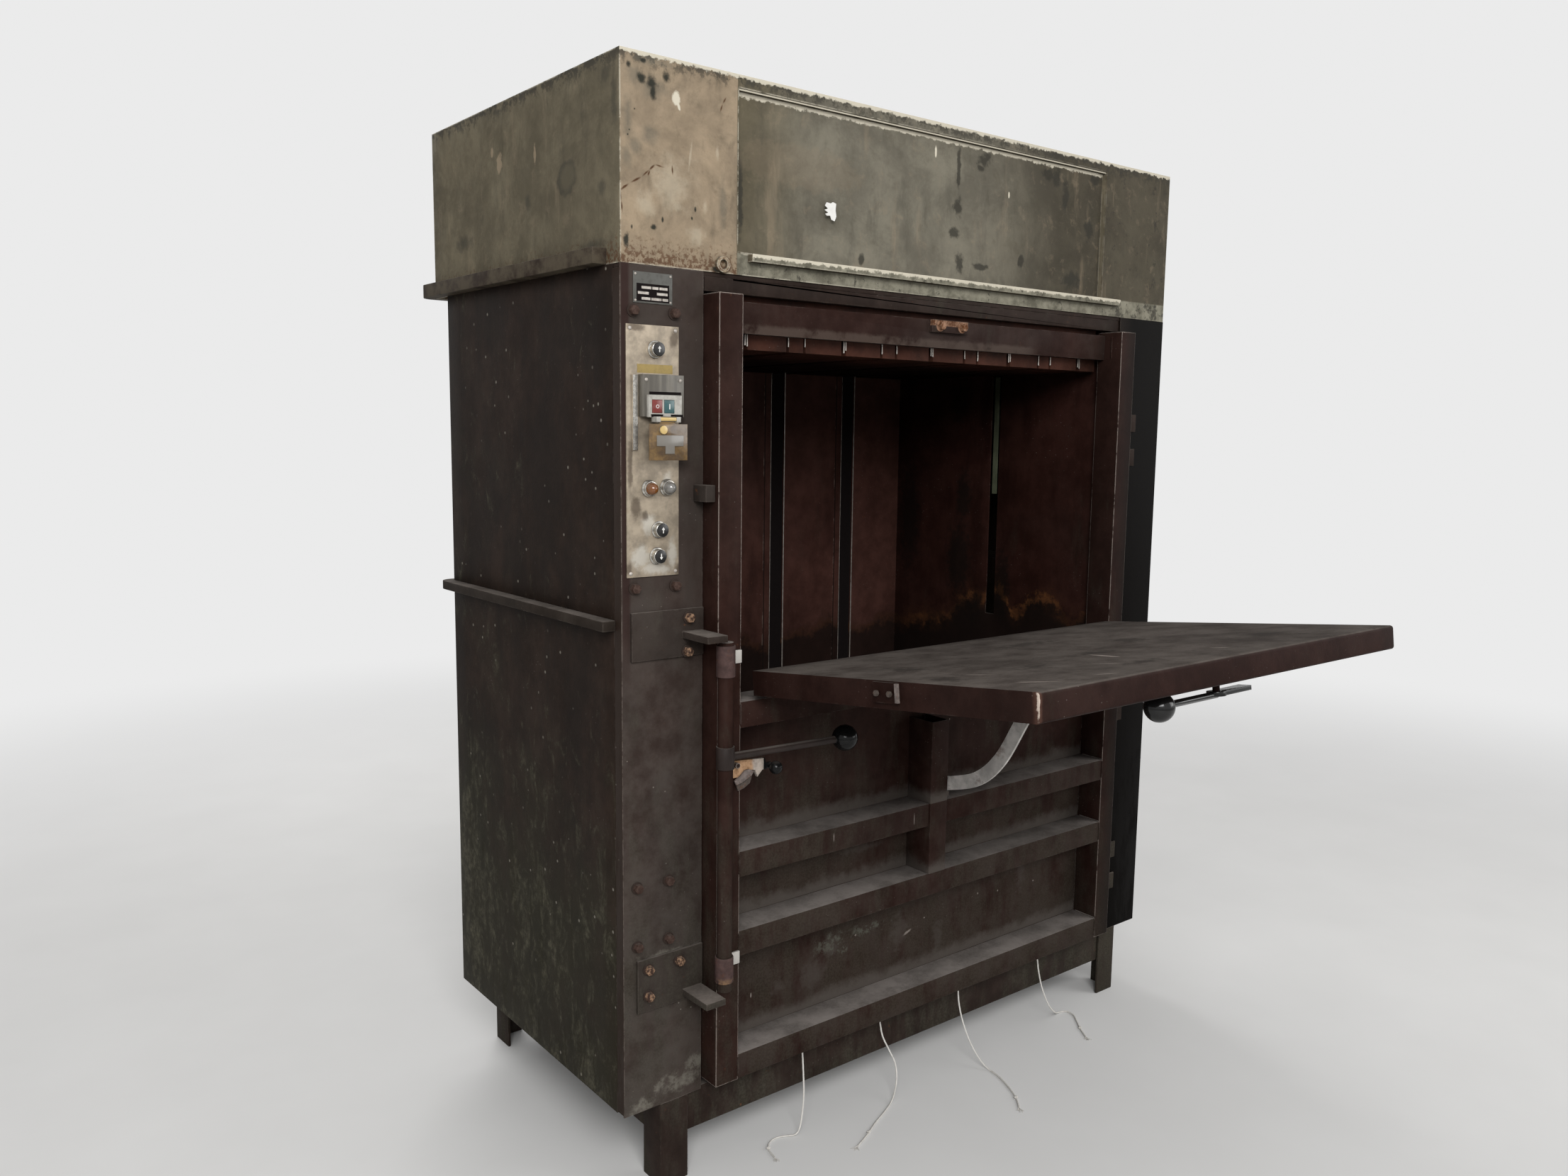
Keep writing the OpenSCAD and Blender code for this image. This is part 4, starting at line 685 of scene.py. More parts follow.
def bolt_extra(s):
    """The washers are painted over; only the heads are rusty, most so on the keeper's plates."""
    y, z = s.y, s.z
    plates = s.math("MAXIMUM", s.both(s.step(z, 0.975, 0.977), s.step(z, 1.09, 1.088)),
        s.both(s.step(z, 0.37, 0.372), s.step(z, 0.45, 0.448)))
    seat = s.step(plates, 0, 1, front_y - 0.0022, front_y - 0.0022 - KEEPER_PLATE)
    head = s.step(s.math("SUBTRACT", y, seat), 0.0002, -0.0002)
    warm = s.mix(plates, (0.062, 0.038, 0.03), (0.26, 0.16, 0.1))
    s.tone = s.mix(head, (0.03, 0.02, 0.016), s.mix(s.step(s.grain, 0.4, 0.62), (0.036, 0.02, 0.015), warm))


def knob(node, side, radius):
    """Turns the ball at one end of a node glossy black: side is -1 or 1 along x."""
    low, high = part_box(node)
    end = high[0] if side > 0 else low[0]

    def paint(s):
        off = s.math("ABSOLUTE", s.math("SUBTRACT", s.x, end - side * radius))
        s.knob = s.step(off, radius + 0.0008, radius + 0.0004)
        s.lay((0.006, 0.006, 0.006), s.knob)

    return paint


def catch_extra(s):
    """The catch's plate has rusted to a light tan beside the rod, and its ball is black."""
    x = s.add(s.x, s.ragged(), 0.012)
    tan = s.mix(s.step(s.grain, 0.4, 0.62), (0.42, 0.26, 0.15), (0.24, 0.135, 0.07))
    s.lay(tan, s.step(x, -0.505, -0.513))
    knob("safety_catch", 1, CATCH_BALL * MM)(s)


def rail_grime(s):
    """The rails are caked with pale, greenish dirt."""
    cake = s.step(s.noise(16, 6, 0.7), 0.36, 0.6)
    s.lay((0.078, 0.064, 0.045), cake, 0.85)


KEEPER_PLATE = 0.006
RIB_TOPS = (234, 475, 627, 907)
RIB_H = 48
LEVER_BALL, CATCH_BALL = 25, 12.5

worn_paint("frame_paint", (0.0235, 0.0155, 0.0125), 0.5, 0.5, 0.9, 0.4, 0.4, 0.4, film=0.2)
worn_paint("side_paint", BROWN, 0.3, 0.4, 0.9, 0.4, 0.4, 0.1, film=0.1, extra=side_extra)
worn_paint("pillar_paint", (0.044, 0.03, 0.025), 0.4, 0.6, 0.9, 0.62, 0.4, 0.2, film=0.8, edge_r=0.0028,
    bare=times(STEEL, 0.6), over=pillar_over)
worn_paint("door_paint", MAROON, 0.35, 0.8, 1.0, 0.45, 0.3, 0.12, film=0.15, edge_r=0.003, extra=door_extra,
    top=1.42, top_dust=PALE_DUST)
worn_paint("header_paint", MAROON, 0.35, 0.0, 0.9, 0.4, 0.3, 0.2, film=0.5, edge_r=0.003, extra=header_extra)
# Painted shade: over darkens the right-hand stile
worn_paint("stile_paint", MAROON, 0.3, 0.6, 0.8, 0.85, 0.3, 0.15, film=0.1, edge_r=0.003,
    bare=times(STEEL, 0.85), over=far_side_shade)
worn_paint("flap_dust", (0.0185, 0.0082, 0.0064), 0.15, 0.0, 0.96, 0.3, 0.2, 0.1, film=0.1, top=0.8,
    over=flap_over)
worn_paint("rail_cake", (0.03, 0.021, 0.016), 0.4, 0.0, 1.0, 0.4, 0.4, 0.2, film=0.3, extra=rail_grime,
    top=1.35)
worn_paint("rail_dust", (0.024, 0.018, 0.014), 0.5, 0.0, 1.0, 0.5, 0.4, 0.2, film=0.3, top=0.95)
hood_paint("hood_paint", "shell")
worn_paint("chamber_steel", (0.0235, 0.0092, 0.007), 0.15, 0.0, 0.5, 0.4, 0.8, 0.2, film=0.08,
    extra=chamber_extra)
# Painted light: the rear wall's maroon-brown base is lifted well above the side walls' to stand in for light
# falling into the chamber
worn_paint("rear_paint_lit", (0.056, 0.0245, 0.019), 0.15, 0.0, 0.5, 0.3, 0.8, 0.25, film=0.08, extra=rear_extra)
worn_paint("platen_paint", (0.05, 0.02, 0.0135), 0.1, 0.0, 0.3, 0.15, 0.3, 0.3, film=0.08, extra=platen_extra)
worn_paint("machine_paint", (0.07, 0.09, 0.09), 0.3, 0.2, 0.6, 0.3, 0.2, 0.2)
bare_metal("bolt_rust", (0.075, 0.046, 0.038), 0.2, 0.75, 150, 0.1, extra=bolt_extra, dust=0.3)
worn_paint("keeper_rust", (0.032, 0.0235, 0.0195), 0.4, 0.4, 1.0, 0.55, 0.3, 0.5, film=0.6, top=1.1)
bare_metal("rod_chrome", (0.6, 0.6, 0.6), 0.1, 0.16, 40)
bare_metal("plate_alu", (0.36, 0.3, 0.225), 0.12, 0.5, 38, 0.35, extra=plate_extra)
plastic("label_yellow", (0.058, 0.057, 0.049), 0.5, 0.6, (0.03, 0.027, 0.022))
plastic("switch_plastic", (0.34, 0.325, 0.29), 0.4, 0.5, extra=housing_extra)
bare_metal("bezel_chrome", (0.5, 0.48, 0.44), 0.15, 0.24, 200)
plastic("lamp_amber", (0.15, 0.05, 0.009), 0.15, 0.35, clear=0.3)
bare_metal("bush_pink", (0.07, 0.042, 0.038), 0.2, 0.7, 70, 0.1, extra=bush_extra, dust=0.3)
bare_metal("bush_grey", (0.17, 0.14, 0.128), 0.3, 0.6, 120, 0.15, dust=0.3)
bare_metal("stay_zinc", (0.6, 0.57, 0.54), 0.36, 0.6, 22, 0.12, dust=0.2)
plastic("lever_black", (0.006, 0.006, 0.006), 0.16, 0.05, clear=0.15, specular=0.3)
worn_paint("lever_brown", (0.02, 0.013, 0.011), 0.2, 0.0, 0.7, 0.5, 0.2, 0.3, over=knob("lock_lever", 1,
    LEVER_BALL * MM))
bare_metal("catch_white", (0.42, 0.36, 0.31), 0.26, 0.6, 60, 0.15, extra=catch_extra, dust=0.2)
plastic("button_black", (0.01, 0.01, 0.01), 0.3, 0.12)
plastic("button_red", (0.15, 0.022, 0.018), 0.25, 0.25)
plastic("button_teal", (0.03, 0.085, 0.09), 0.25, 0.25)
plastic("cover_brass", (0.092, 0.054, 0.02), 0.3, 0.4, (0.05, 0.03, 0.012), 0.3, cover_extra)
plastic("twine_white", (0.6, 0.58, 0.54), 0.8, 0.25)
hood_paint("cover_paint", "cover")
hood_paint("rail_paint", "rail")
plastic("label_bare", (0.26, 0.185, 0.052), 0.5, 0.45, (0.11, 0.075, 0.026))
plastic("lens_clear", (0.15, 0.145, 0.135), 0.12, 0.35, clear=0.8)
plastic("mark_white", (0.62, 0.61, 0.58), 0.5, 0.12)
# Real black on the type plate's field, and painted shade in the slots and the switch's gaps
plastic("black_and_shade", (0.01, 0.008, 0.008), 0.9, 0.3, (0.016, 0.012, 0.011), specular=0.0)
bare_metal("worn_steel", (0.42, 0.38, 0.34), 0.22, 0.45, 120, 0.4, dust=0.0)
bare_metal("dull_steel", (0.085, 0.068, 0.058), 0.3, 0.6, 240, 0.2, dust=0.0)
worn_paint("guide_green", (0.085, 0.095, 0.06), 0.5, 0.0, 0.4, 0.4, 0.9, 0.2)


# Pieces
def mesh_object(name, bm):
    mesh = bpy.data.meshes.new(name)
    bm.to_mesh(mesh)
    bm.free()
    return link(bpy.data.objects.new(name, mesh))


def is_sharp(edge, angle):
    return len(edge.link_faces) == 2 and edge.calc_face_angle(0) > math.radians(angle)


def mesh_piece(name, bm, body, mat, angle=35.0, instead=None):
    """Turns a bmesh into a piece, smooth but for the edges sharper than angle. instead is the CAD
    node that it stands for."""
    bmesh.ops.recalc_face_normals(bm, faces=bm.faces)
    for e in bm.edges:
        e.smooth = not is_sharp(e, angle)
    for f in bm.faces:
        f.smooth = True
    obj = mesh_object(name, bm)
    obj.data.materials.append(materials[mat])
    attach(obj, body)
    if instead:
        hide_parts(instead)
    return obj


def rounded(bm, width, angle=35.0):
    """Rounds every edge of a bmesh that is sharper than angle."""
    sharp = [e for e in bm.edges if is_sharp(e, angle)]
    bmesh.ops.bevel(bm, geom=sharp, offset=width, segments=2, affect="EDGES", profile=0.5,
                    clamp_overlap=True)


def block(bm, corners):
    """A closed block from its eight corners, in the order of x, then y, then z."""
    verts = [bm.verts.new(c) for c in corners]
    for face in ((0, 1, 3, 2), (4, 6, 7, 5), (0, 4, 5, 1), (2, 3, 7, 6), (0, 2, 6, 4), (1, 5, 7, 3)):
        bm.faces.new([verts[i] for i in face])


def box(bm, low, high):
    """A box between two corners, in millimetres as at() takes them."""
    a, b = at(*low), at(*high)
    block(bm, [(x, y, z) for x in (a.x, b.x) for y in (a.y, b.y) for z in (a.z, b.z)])


def walls(bm, near, far):
    """The faces between two outlines."""
    for k in range(len(near)):
        j = (k + 1) % len(near)
        bm.faces.new((near[k], near[j], far[j], far[k]))


def slab(bm, near, far):
    """A closed plate between two outlines."""
    near, far = ([bm.verts.new(p) for p in outline] for outline in (near, far))
    bm.faces.new(near)
    bm.faces.new(far[::-1])
    walls(bm, near, far)


def prism(bm, outline, y0, y1):
    """A flat plate across y, from its outline in x and z, in millimetres."""
    slab(bm, *([at(x, y, z) for x, z in outline] for y in (y0, y1)))


def bar(name, low, high, body, mat, width=0.0006):
    bm = bmesh.new()
    box(bm, low, high)
    rounded(bm, width)
    return mesh_piece(name, bm, body, mat)


def lathe(bm, x, z, profile, turns=40):
    """A shape turned about a line along y through x, z. profile has (radius, y) in millimetres."""
    rings = []
    for r, y in profile:
        ring = []
        for k in range(turns if r > 0 else 1):
            a = 2 * math.pi * k / turns
            ring.append(bm.verts.new(at(x + r * math.cos(a), y, z + r * math.sin(a))))
        rings.append(ring)
    for low, high in zip(rings, rings[1:]):
        for k in range(turns):
            quad = [low[k % len(low)], low[(k + 1) % len(low)], high[(k + 1) % len(high)], high[k % len(high)]]
            quad = [v for i, v in enumerate(quad) if v not in quad[:i]]
            if len(quad) > 2:
                bm.faces.new(quad)


def tube(bm, path, radius, sides=10):
    """A closed tube along path. radius is a number, or a function of ring and side."""
    rings = []
    side = None
    for i, p in enumerate(path):
        d = (path[min(i + 1, len(path) - 1)] - path[max(i - 1, 0)]).normalized()
        if side is None:
            side = d.orthogonal().normalized()
        side = (side - side.dot(d) * d).normalized()
        up = d.cross(side)
        ring = []
        for k in range(sides):
            a = 2 * math.pi * k / sides
            r = radius(i, a) if callable(radius) else radius
            ring.append(bm.verts.new(p + r * (math.cos(a) * side + math.sin(a) * up)))
        rings.append(ring)
    for low, high in zip(rings, rings[1:]):
        for k in range(sides):
            bm.faces.new((low[k], low[(k + 1) % sides], high[(k + 1) % sides], high[k]))
    bm.faces.new(rings[0][::-1])
    bm.faces.new(rings[-1])


def smooth_line(points, steps):
    """A smooth curve through the points, with steps pieces between each two."""
    line = []
    for i in range(len(points) - 1):
        a, b, c, d = (points[min(max(j, 0), len(points) - 1)] for j in (i - 1, i, i + 1, i + 2))
        for k in range(steps):
            t = k / steps
            line.append(0.5 * (2 * b + (c - a) * t + (2 * a - 5 * b + 4 * c - d) * t * t
                               + (3 * b - a - 3 * c + d) * t ** 3))
    line.append(points[-1])
    return line


# Twine: the four free ends, along the same routes as their solids
TWINE_R = 1.75 * MM
TWINE_TWIST = 13 * MM
LOW = 2.05


def fall(x):
    return [(x, 30, 171.05), (x, 3, 171.05), (x, -2.5, 169.55), (x, -7, 164.05)]


routes = {
    "twine_1": fall(-346) + [(-347, -12, 130), (-351, -20, 80), (-358, -24, 40), (-366, -26, 14),
                             (-376, -24, 4), (-392, -14, LOW), (-412, -8, LOW), (-432, -14, LOW),
                             (-446, -30, LOW), (-453, -58, LOW)],
    "twine_2": fall(-136) + [(-132, -13, 130), (-118, -20, 96), (-106, -26, 66), (-108, -34, 36),
                             (-126, -46, 12), (-150, -58, LOW), (-184, -74, LOW), (-221, -90, LOW),
                             (-256, -108, LOW), (-300, -127, LOW)],
    "twine_3": fall(101) + [(102, -11, 130), (105, -22, 90), (110, -42, 48), (116, -68, 16),
                            (121, -92, LOW), (117, -120, LOW), (108, -146, LOW), (96, -174, LOW),
                            (80, -202, LOW), (59, -228, LOW)],
    "twine_4": fall(370) + [(373, -11, 130), (382, -16, 88), (402, -20, 44), (430, -18, 14),
                            (458, -10, LOW), (476, -18, LOW), (474, -40, LOW), (456, -64, LOW),
                            (432, -94, LOW), (412, -125, LOW)],
}


def make_twine(node, route):
    floor = LOW * MM
    path = smooth_line([at(*p) for p in route], 12)
    path = [Vector((p.x, p.y, max(p.z, floor))) for p in path]
    gone = [0.0]
    for a, b in zip(path, path[1:]):
        gone.append(gone[-1] + (b - a).length)

    def strands(i, a):
        return TWINE_R * (0.82 + 0.18 * abs(math.cos(1.5 * (a - 2 * math.pi * gone[i] / TWINE_TWIST / 3))))

    bm = bmesh.new()
    tube(bm, path, strands, 18)
    piece = mesh_piece("s_" + node, bm, node_body[node], "twine_white", angle=80, instead=node)

    # A knot near the free end, and the frayed threads past it
    bm = bmesh.new()
    mid = path[-14]
    along = (path[-12] - path[-16]).normalized()
    across = along.cross(Vector((0, 0, 1))).normalized()
    loop = []
    for k in range(49):
        a = 2 * math.pi * k / 48
        out = 2.0 + math.cos(3 * a)
        loop.append(mid + MM * (1.1 * out * math.cos(2 * a) * across + 1.35 * math.sin(3 * a) * along
                                + (1.0 * out * math.sin(2 * a) + 1.7) * Vector((0, 0, 1))))
    tube(bm, loop, 1.2 * MM, 8)
    for k in range(9):
        turn = (k - 4) * 0.16
        ahead = (path[-1] - path[-3]).normalized()
        out = ahead.cross(Vector((0, 0, 1))).normalized()
        reach = rng.uniform(9, 17) * MM
        thread = []
        for j in range(7):
            t = j / 6
            wave = 0.6 * MM * math.sin(5 * t + k)
            p = path[-1] + ahead * (t * reach * math.cos(turn)) + out * (t * reach * math.sin(turn) + wave * t)
            p.z = max(0.7 * MM, floor + (0.9 * MM * math.sin(k)) * (1 - t) - 1.2 * MM * t)
            thread.append(p)
        tube(bm, thread, 0.42 * MM, 5)
    end = mesh_piece("s_" + node + "_end", bm, node_body[node], "twine_white", angle=80)
    points = [path[i] for i in range(0, len(path), 4)]
    if (len(path) - 1) % 4:
        points.append(path[-1])


for node, route in routes.items():
    make_twine(node, route)


# Every other CAD node, dressed
def crumple(bm, amount, cell=0.055):
    """Cuts a sheet form into a grid and dents its broad faces inward, by up to amount."""
    low = Vector([min(v.co[i] for v in bm.verts) for i in range(3)])
    high = Vector([max(v.co[i] for v in bm.verts) for i in range(3)])
    for i in range(3):
        count = int((high[i] - low[i]) / cell)
        for k in range(1, count):
            normal = Vector((0, 0, 0))
            normal[i] = 1
            place = low.copy()
            place[i] += (high[i] - low[i]) * k / count
            bmesh.ops.bisect_plane(bm, geom=bm.verts[:] + bm.edges[:] + bm.faces[:], plane_co=place,
                                   plane_no=normal, dist=0.00002)
    skin, margin = 0.005, 0.06
    for v in bm.verts:
        shift = Vector((0, 0, 0))
        for i in range(3):
            if v.co[i] - low[i] < skin:
                sign = 1
            elif high[i] - v.co[i] < skin:
                sign = -1
            else:
                continue
            fade = 1.0
            for j in range(3):
                if j != i:
                    near = min(v.co[j] - low[j], high[j] - v.co[j]) / margin
                    fade *= min(1.0, max(0.0, near)) ** 2 if high[j] - low[j] > 3 * margin else 0.0
            flat = v.co.copy()
            flat[i] = low[i] if sign > 0 else high[i]
            swell = 0.5 + 0.8 * noise.noise(flat * 3.1 + Vector((i, 2, 5)))
            shift[i] = sign * amount * fade * min(1.0, max(0.0, swell))
        v.co += shift


# The guide strip on the plate ends higher in the scene, behind the bright strip that lies on it
STRIP_FOOT, STRIP_CUT = 1295 * MM, 1358 * MM


def dress(node, width, dents=0.0, mat=None):
    """A copy of a CAD node, welded and with its edges rounded, that stands for the node."""
    bm = bmesh.new()
    bm.from_mesh(frame["nodes"][node].data)
    bmesh.ops.remove_doubles(bm, verts=bm.verts, dist=0.00001)
    bmesh.ops.dissolve_limit(bm, angle_limit=math.radians(0.5), verts=bm.verts, edges=bm.edges)
    for v in bm.verts:
        if node == "control_plate" and abs(v.co.z - STRIP_FOOT) < MM:
            v.co.z = STRIP_CUT
    if dents:
        crumple(bm, dents)
    if width:
        rounded(bm, width)
    mesh_piece("s_" + node, bm, node_body[node], mat or node_slot[node], instead=node)


edge_width = {"lock_lever": 0.0008, "latch_lever": 0.0008, "switch_housing": 0.0012, "switch_cover": 0.0004,
              "stop_button": 0.0012, "start_button": 0.0012, "top_button": 0.0008, "up_button": 0.0008,
              "down_button": 0.0008, "control_plate": 0.0006, "type_plate": 0.0004,
              "hood_cover": 0.0009, "pillar_left": 0.0016, "door_stiles": 0.003, "door_ribs": 0.002}
dents = {"hood_shell": 0.0016, "hood_cover": 0.0018, "left_lower_panel": 0.0025, "left_upper_panel": 0.0025,
         "right_lower_panel": 0.0025, "right_upper_panel": 0.0025, "rear_panel": 0.002, "door_sheet": 0.002,
         "flap_panel": 0.0012, "chamber_rear_wall": 0.0015}
other_paint = {"hood_cover": "cover_paint", "hood_front_rail": "rail_paint", "upper_rail": "rail_cake",
               "middle_rail": "rail_dust", "door_stiles": "stile_paint", "chamber_rear_wall": "rear_paint_lit",
               "platen": "platen_paint", "door_header": "header_paint", "lock_lever": "lever_brown"}
made_anew = set(routes) | {"bezels", "lamps", "stay_bar", "safety_catch"}
for node in frame["nodes"]:
    if node not in made_anew:
        dress(node, edge_width.get(node, 0.0012), dents.get(node, 0.0), other_paint.get(node))


# Control panel
BUTTONS = {"top_button": (-686, 1525, 1), "up_button": (-679, 1221, 1), "down_button": (-683, 1176, -1)}
PLATE_Y = -3
CAP_Y = -18


def make_bezels():
    bm = bmesh.new()
    for x, z, turn in BUTTONS.values():
        lathe(bm, x, z, [(15, PLATE_Y), (15, -5.5), (14.2, -6.3), (12.9, -6.6), (12.9, -14.4), (12.2, -15.7),
                         (11.6, -16), (11.25, -15.4), (11.25, PLATE_Y), (15, PLATE_Y)], 48)
    mesh_piece("s_bezels", bm, "frame", "bezel_chrome", angle=25, instead="bezels")


def make_arrow(node):
    x, z, way = BUTTONS[node]
    bm = bmesh.new()
    outline = [(-0.9, -5), (0.9, -5), (0.9, 0.8), (3.2, 0.8), (0, 5.4), (-3.2, 0.8), (-0.9, 0.8)]
    prism(bm, [(x + u, z + way * w) for u, w in outline], CAP_Y - 0.3, CAP_Y + 0.15)
    mesh_piece("s_" + node + "_arrow", bm, node_body[node], "mark_white")


def make_lamps():
    for name, x, z, lens in (("amber", -699, 1292, "lamp_amber"), ("clear", -663, 1293, "lens_clear")):
        bm = bmesh.new()
        lathe(bm, x, z, [(15, PLATE_Y), (15, -6.4), (14.4, -7.4), (13, -9), (13, -11.5), (12.4, -12.6),
                         (11.2, -12.8), (10.9, -12), (10.9, PLATE_Y), (15, PLATE_Y)], 48)
        mesh_piece("s_lamp_ring_" + name, bm, "frame", "bezel_chrome", angle=25, instead="lamps")
        bm = bmesh.new()
        profile = [(10.7, PLATE_Y - 0.5), (10.7, -14)]
        for k in range(1, 7):
            a = math.pi / 2 * k / 7
            step = 0.35 if k % 2 else 0.0
            profile.append((10.6 * math.cos(a) - step, -14 - 12.6 * math.sin(a) + step))
        profile += [(0, -26.7)]
        lathe(bm, x, z, profile, 40)
        mesh_piece("s_lamp_lens_" + name, bm, "frame", lens, 60, instead="lamps")


def ring_mark(name, x, z, y, body):
    bm = bmesh.new()
    lathe(bm, x, z, [(3.1, y + 0.3), (3.1, y - 0.3), (2.1, y - 0.3), (2.1, y + 0.3), (3.1, y + 0.3)], 24)
    mesh_piece(name, bm, body, "mark_white")


def make_panel():
    make_bezels()
    for node in BUTTONS:
        make_arrow(node)
    make_lamps()
    face, body_face = -17, -23
    ring_mark("s_stop_mark", -694, 1430, -24, node_body["stop_button"])
    bar("s_start_mark", (-670.9, -24.3, 1425.5), (-669.1, -23.8, 1434.5), node_body["start_button"],
        "mark_white", 0.0001)
    bar("s_panel_label", (-721, PLATE_Y - 0.4, 1485.5), (-651, PLATE_Y + 0.3, 1500), "frame", "label_bare",
        0.0002)
    bar("s_guide_strip", (-731, -6.6, 1357), (-722, -4.8, 1482), "frame", "bezel_chrome", width=0.0012)
    bar("s_guide_foot", (-733, -5.6, 1356), (-731, -4.8, 1483), "frame", "plate_alu", width=0.0002)
    # Black bars in the switch's gaps: painted shade
    for name, x0, x1, z, y in (("top", -706, -643, 1450, face), ("left", -706, -683, 1412.5, body_face),
                               ("right", -667, -643, 1412.5, body_face)):
        bar("s_switch_gap_shade_" + name, (x0, y - 0.8, z), (x1, y + 0.4, z + 4.5), "frame", "black_and_shade",
            0.0004)
    bm = bmesh.new()
    for x in (-712, -644):
        lathe(bm, x, 1474, [(0, face - 2.2), (2.2, face - 2.0), (3.2, face - 0.8), (3.4, face + 0.3)], 20)
    for x in (-735, -645):
        for z in (1148, 1558):
            lathe(bm, x, z, [(0, PLATE_Y - 2.0), (2.4, PLATE_Y - 1.8), (3.4, PLATE_Y - 0.7),
                             (3.6, PLATE_Y + 0.3)], 20)
    mesh_piece("s_panel_screws", bm, "frame", "worn_steel", 50)
    bar("s_type_plate_field", (-720.5, -1.7, 1603), (-656.5, -1.2, 1632), "frame", "black_and_shade",
        0.0002)
    bm = bmesh.new()
    for z, cuts in ((1605.5, (-711, -694, -692, -672, -670, -659)), (1614.5, (-718, -697, -681, -660)),
                    (1623.5, (-711, -692, -690, -678, -676, -660))):
        for x0, x1 in zip(cuts[::2], cuts[1::2]):
            box(bm, (x0, -2.0, z), (x1, -1.4, z + 4.2))
    for x, z in ((-723, 1604), (-654, 1604), (-723, 1647), (-654, 1647)):
        lathe(bm, x, z, [(0, -2.6), (1.6, -2.4), (2.3, -1.2)], 14)
    mesh_piece("s_type_plate_frame", bm, "frame", "worn_steel")


make_panel()


# The flap hangs open a little above level
FLAP_HINGE = (-45, 917)
FLAP_TILT = math.radians(90 - 83.2)


def on_flap(x, s, t):
    """A point of the flap: s out from its hinge and t above its underside."""
    return (x, FLAP_HINGE[0] - s * math.cos(FLAP_TILT) + t * math.sin(FLAP_TILT),
            FLAP_HINGE[1] + s * math.sin(FLAP_TILT) + t * math.cos(FLAP_TILT))


# Stay bar: one smooth flat bar instead of its mitred solid
def make_stay():
    x0, x1 = (corner[0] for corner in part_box("stay_bar"))
    pivot = at(*on_flap(0, 240, -30))
    bends = [(0, 0), (46, -77), (102, -172), (164, -227), (254, -257)]
    mids = [pivot + Vector((0, u * MM, w * MM)) for u, w in bends]
    line = smooth_line(mids, 10)
    half = 0.0145
    outer, inner = [], []
    for i, p in enumerate(line):
        d = (line[min(i + 1, len(line) - 1)] - line[max(i - 1, 0)]).normalized()
        n = Vector((0, -d.z, d.y))
        outer.append(p + half * n)
        inner.append(p - half * n)
    eye = half + 0.002

    def cap(p, d, side):
        n = Vector((0, -d.z, d.y))
        return [p + eye * (math.cos(a) * side * n + math.sin(a) * d)
                for a in (math.pi * k / 12 for k in range(13))]

    first = (line[0] - line[1]).normalized()
    last = (line[-1] - line[-2]).normalized()
    outline = outer[1:-1] + cap(line[-1], last, 1) + inner[1:-1][::-1] + cap(line[0], first, 1)
    bm = bmesh.new()
    slab(bm, *([(x, p.y, p.z) for p in outline] for x in (x0, x1)))
    rounded(bm, 0.001, angle=50)
    mesh_piece("s_stay_bar", bm, node_body["stay_bar"], "stay_zinc", instead="stay_bar")


make_stay()


# Small things on the frame and the door
def make_catch():
    """The safety catch: its notched plate and ball, the hooked arm and the wing below them."""
    body = node_body["safety_catch"]
    bm = bmesh.new()
    prism(bm, [(-556, 803), (-481, 797), (-479, 788), (-466, 787), (-466, 777), (-487, 776), (-498, 764.5),
               (-503, 778), (-524, 783), (-537, 771), (-556, 771)], -51.3, -45.3)
    rounded(bm, 0.0007)
    ball = [(0, -49), (4, -49.5), (4, -60)]
    for k in range(1, 12):
        a = math.pi * (k + 0.7) / 12.7
        ball.append((CATCH_BALL * math.sin(a), -71.3 + CATCH_BALL * math.cos(a)))
    lathe(bm, -471, 782, ball + [(0, -83.8)], 32)
    mesh_piece("s_safety_catch", bm, body, "catch_white", instead="safety_catch")
    hook = [(-508, 778), (-519, 783), (-529, 782), (-540, 773), (-552, 766), (-548, 758), (-536, 761),
            (-524, 766), (-514, 771)]
    wing = [(-545, 758), (-541, 745), (-528, 748), (-514, 756), (-509, 772), (-520, 768), (-532, 762)]
    for name, mat, y0, y1, outline in (("s_catch_hook", "bush_grey", -55.4, -51.8, hook),
                                       ("s_catch_wing", "dull_steel", -50.6, -47.2, wing)):
        bm = bmesh.new()
        prism(bm, outline, y0, y1)
        rounded(bm, 0.0006)
        mesh_piece(name, bm, body, mat)


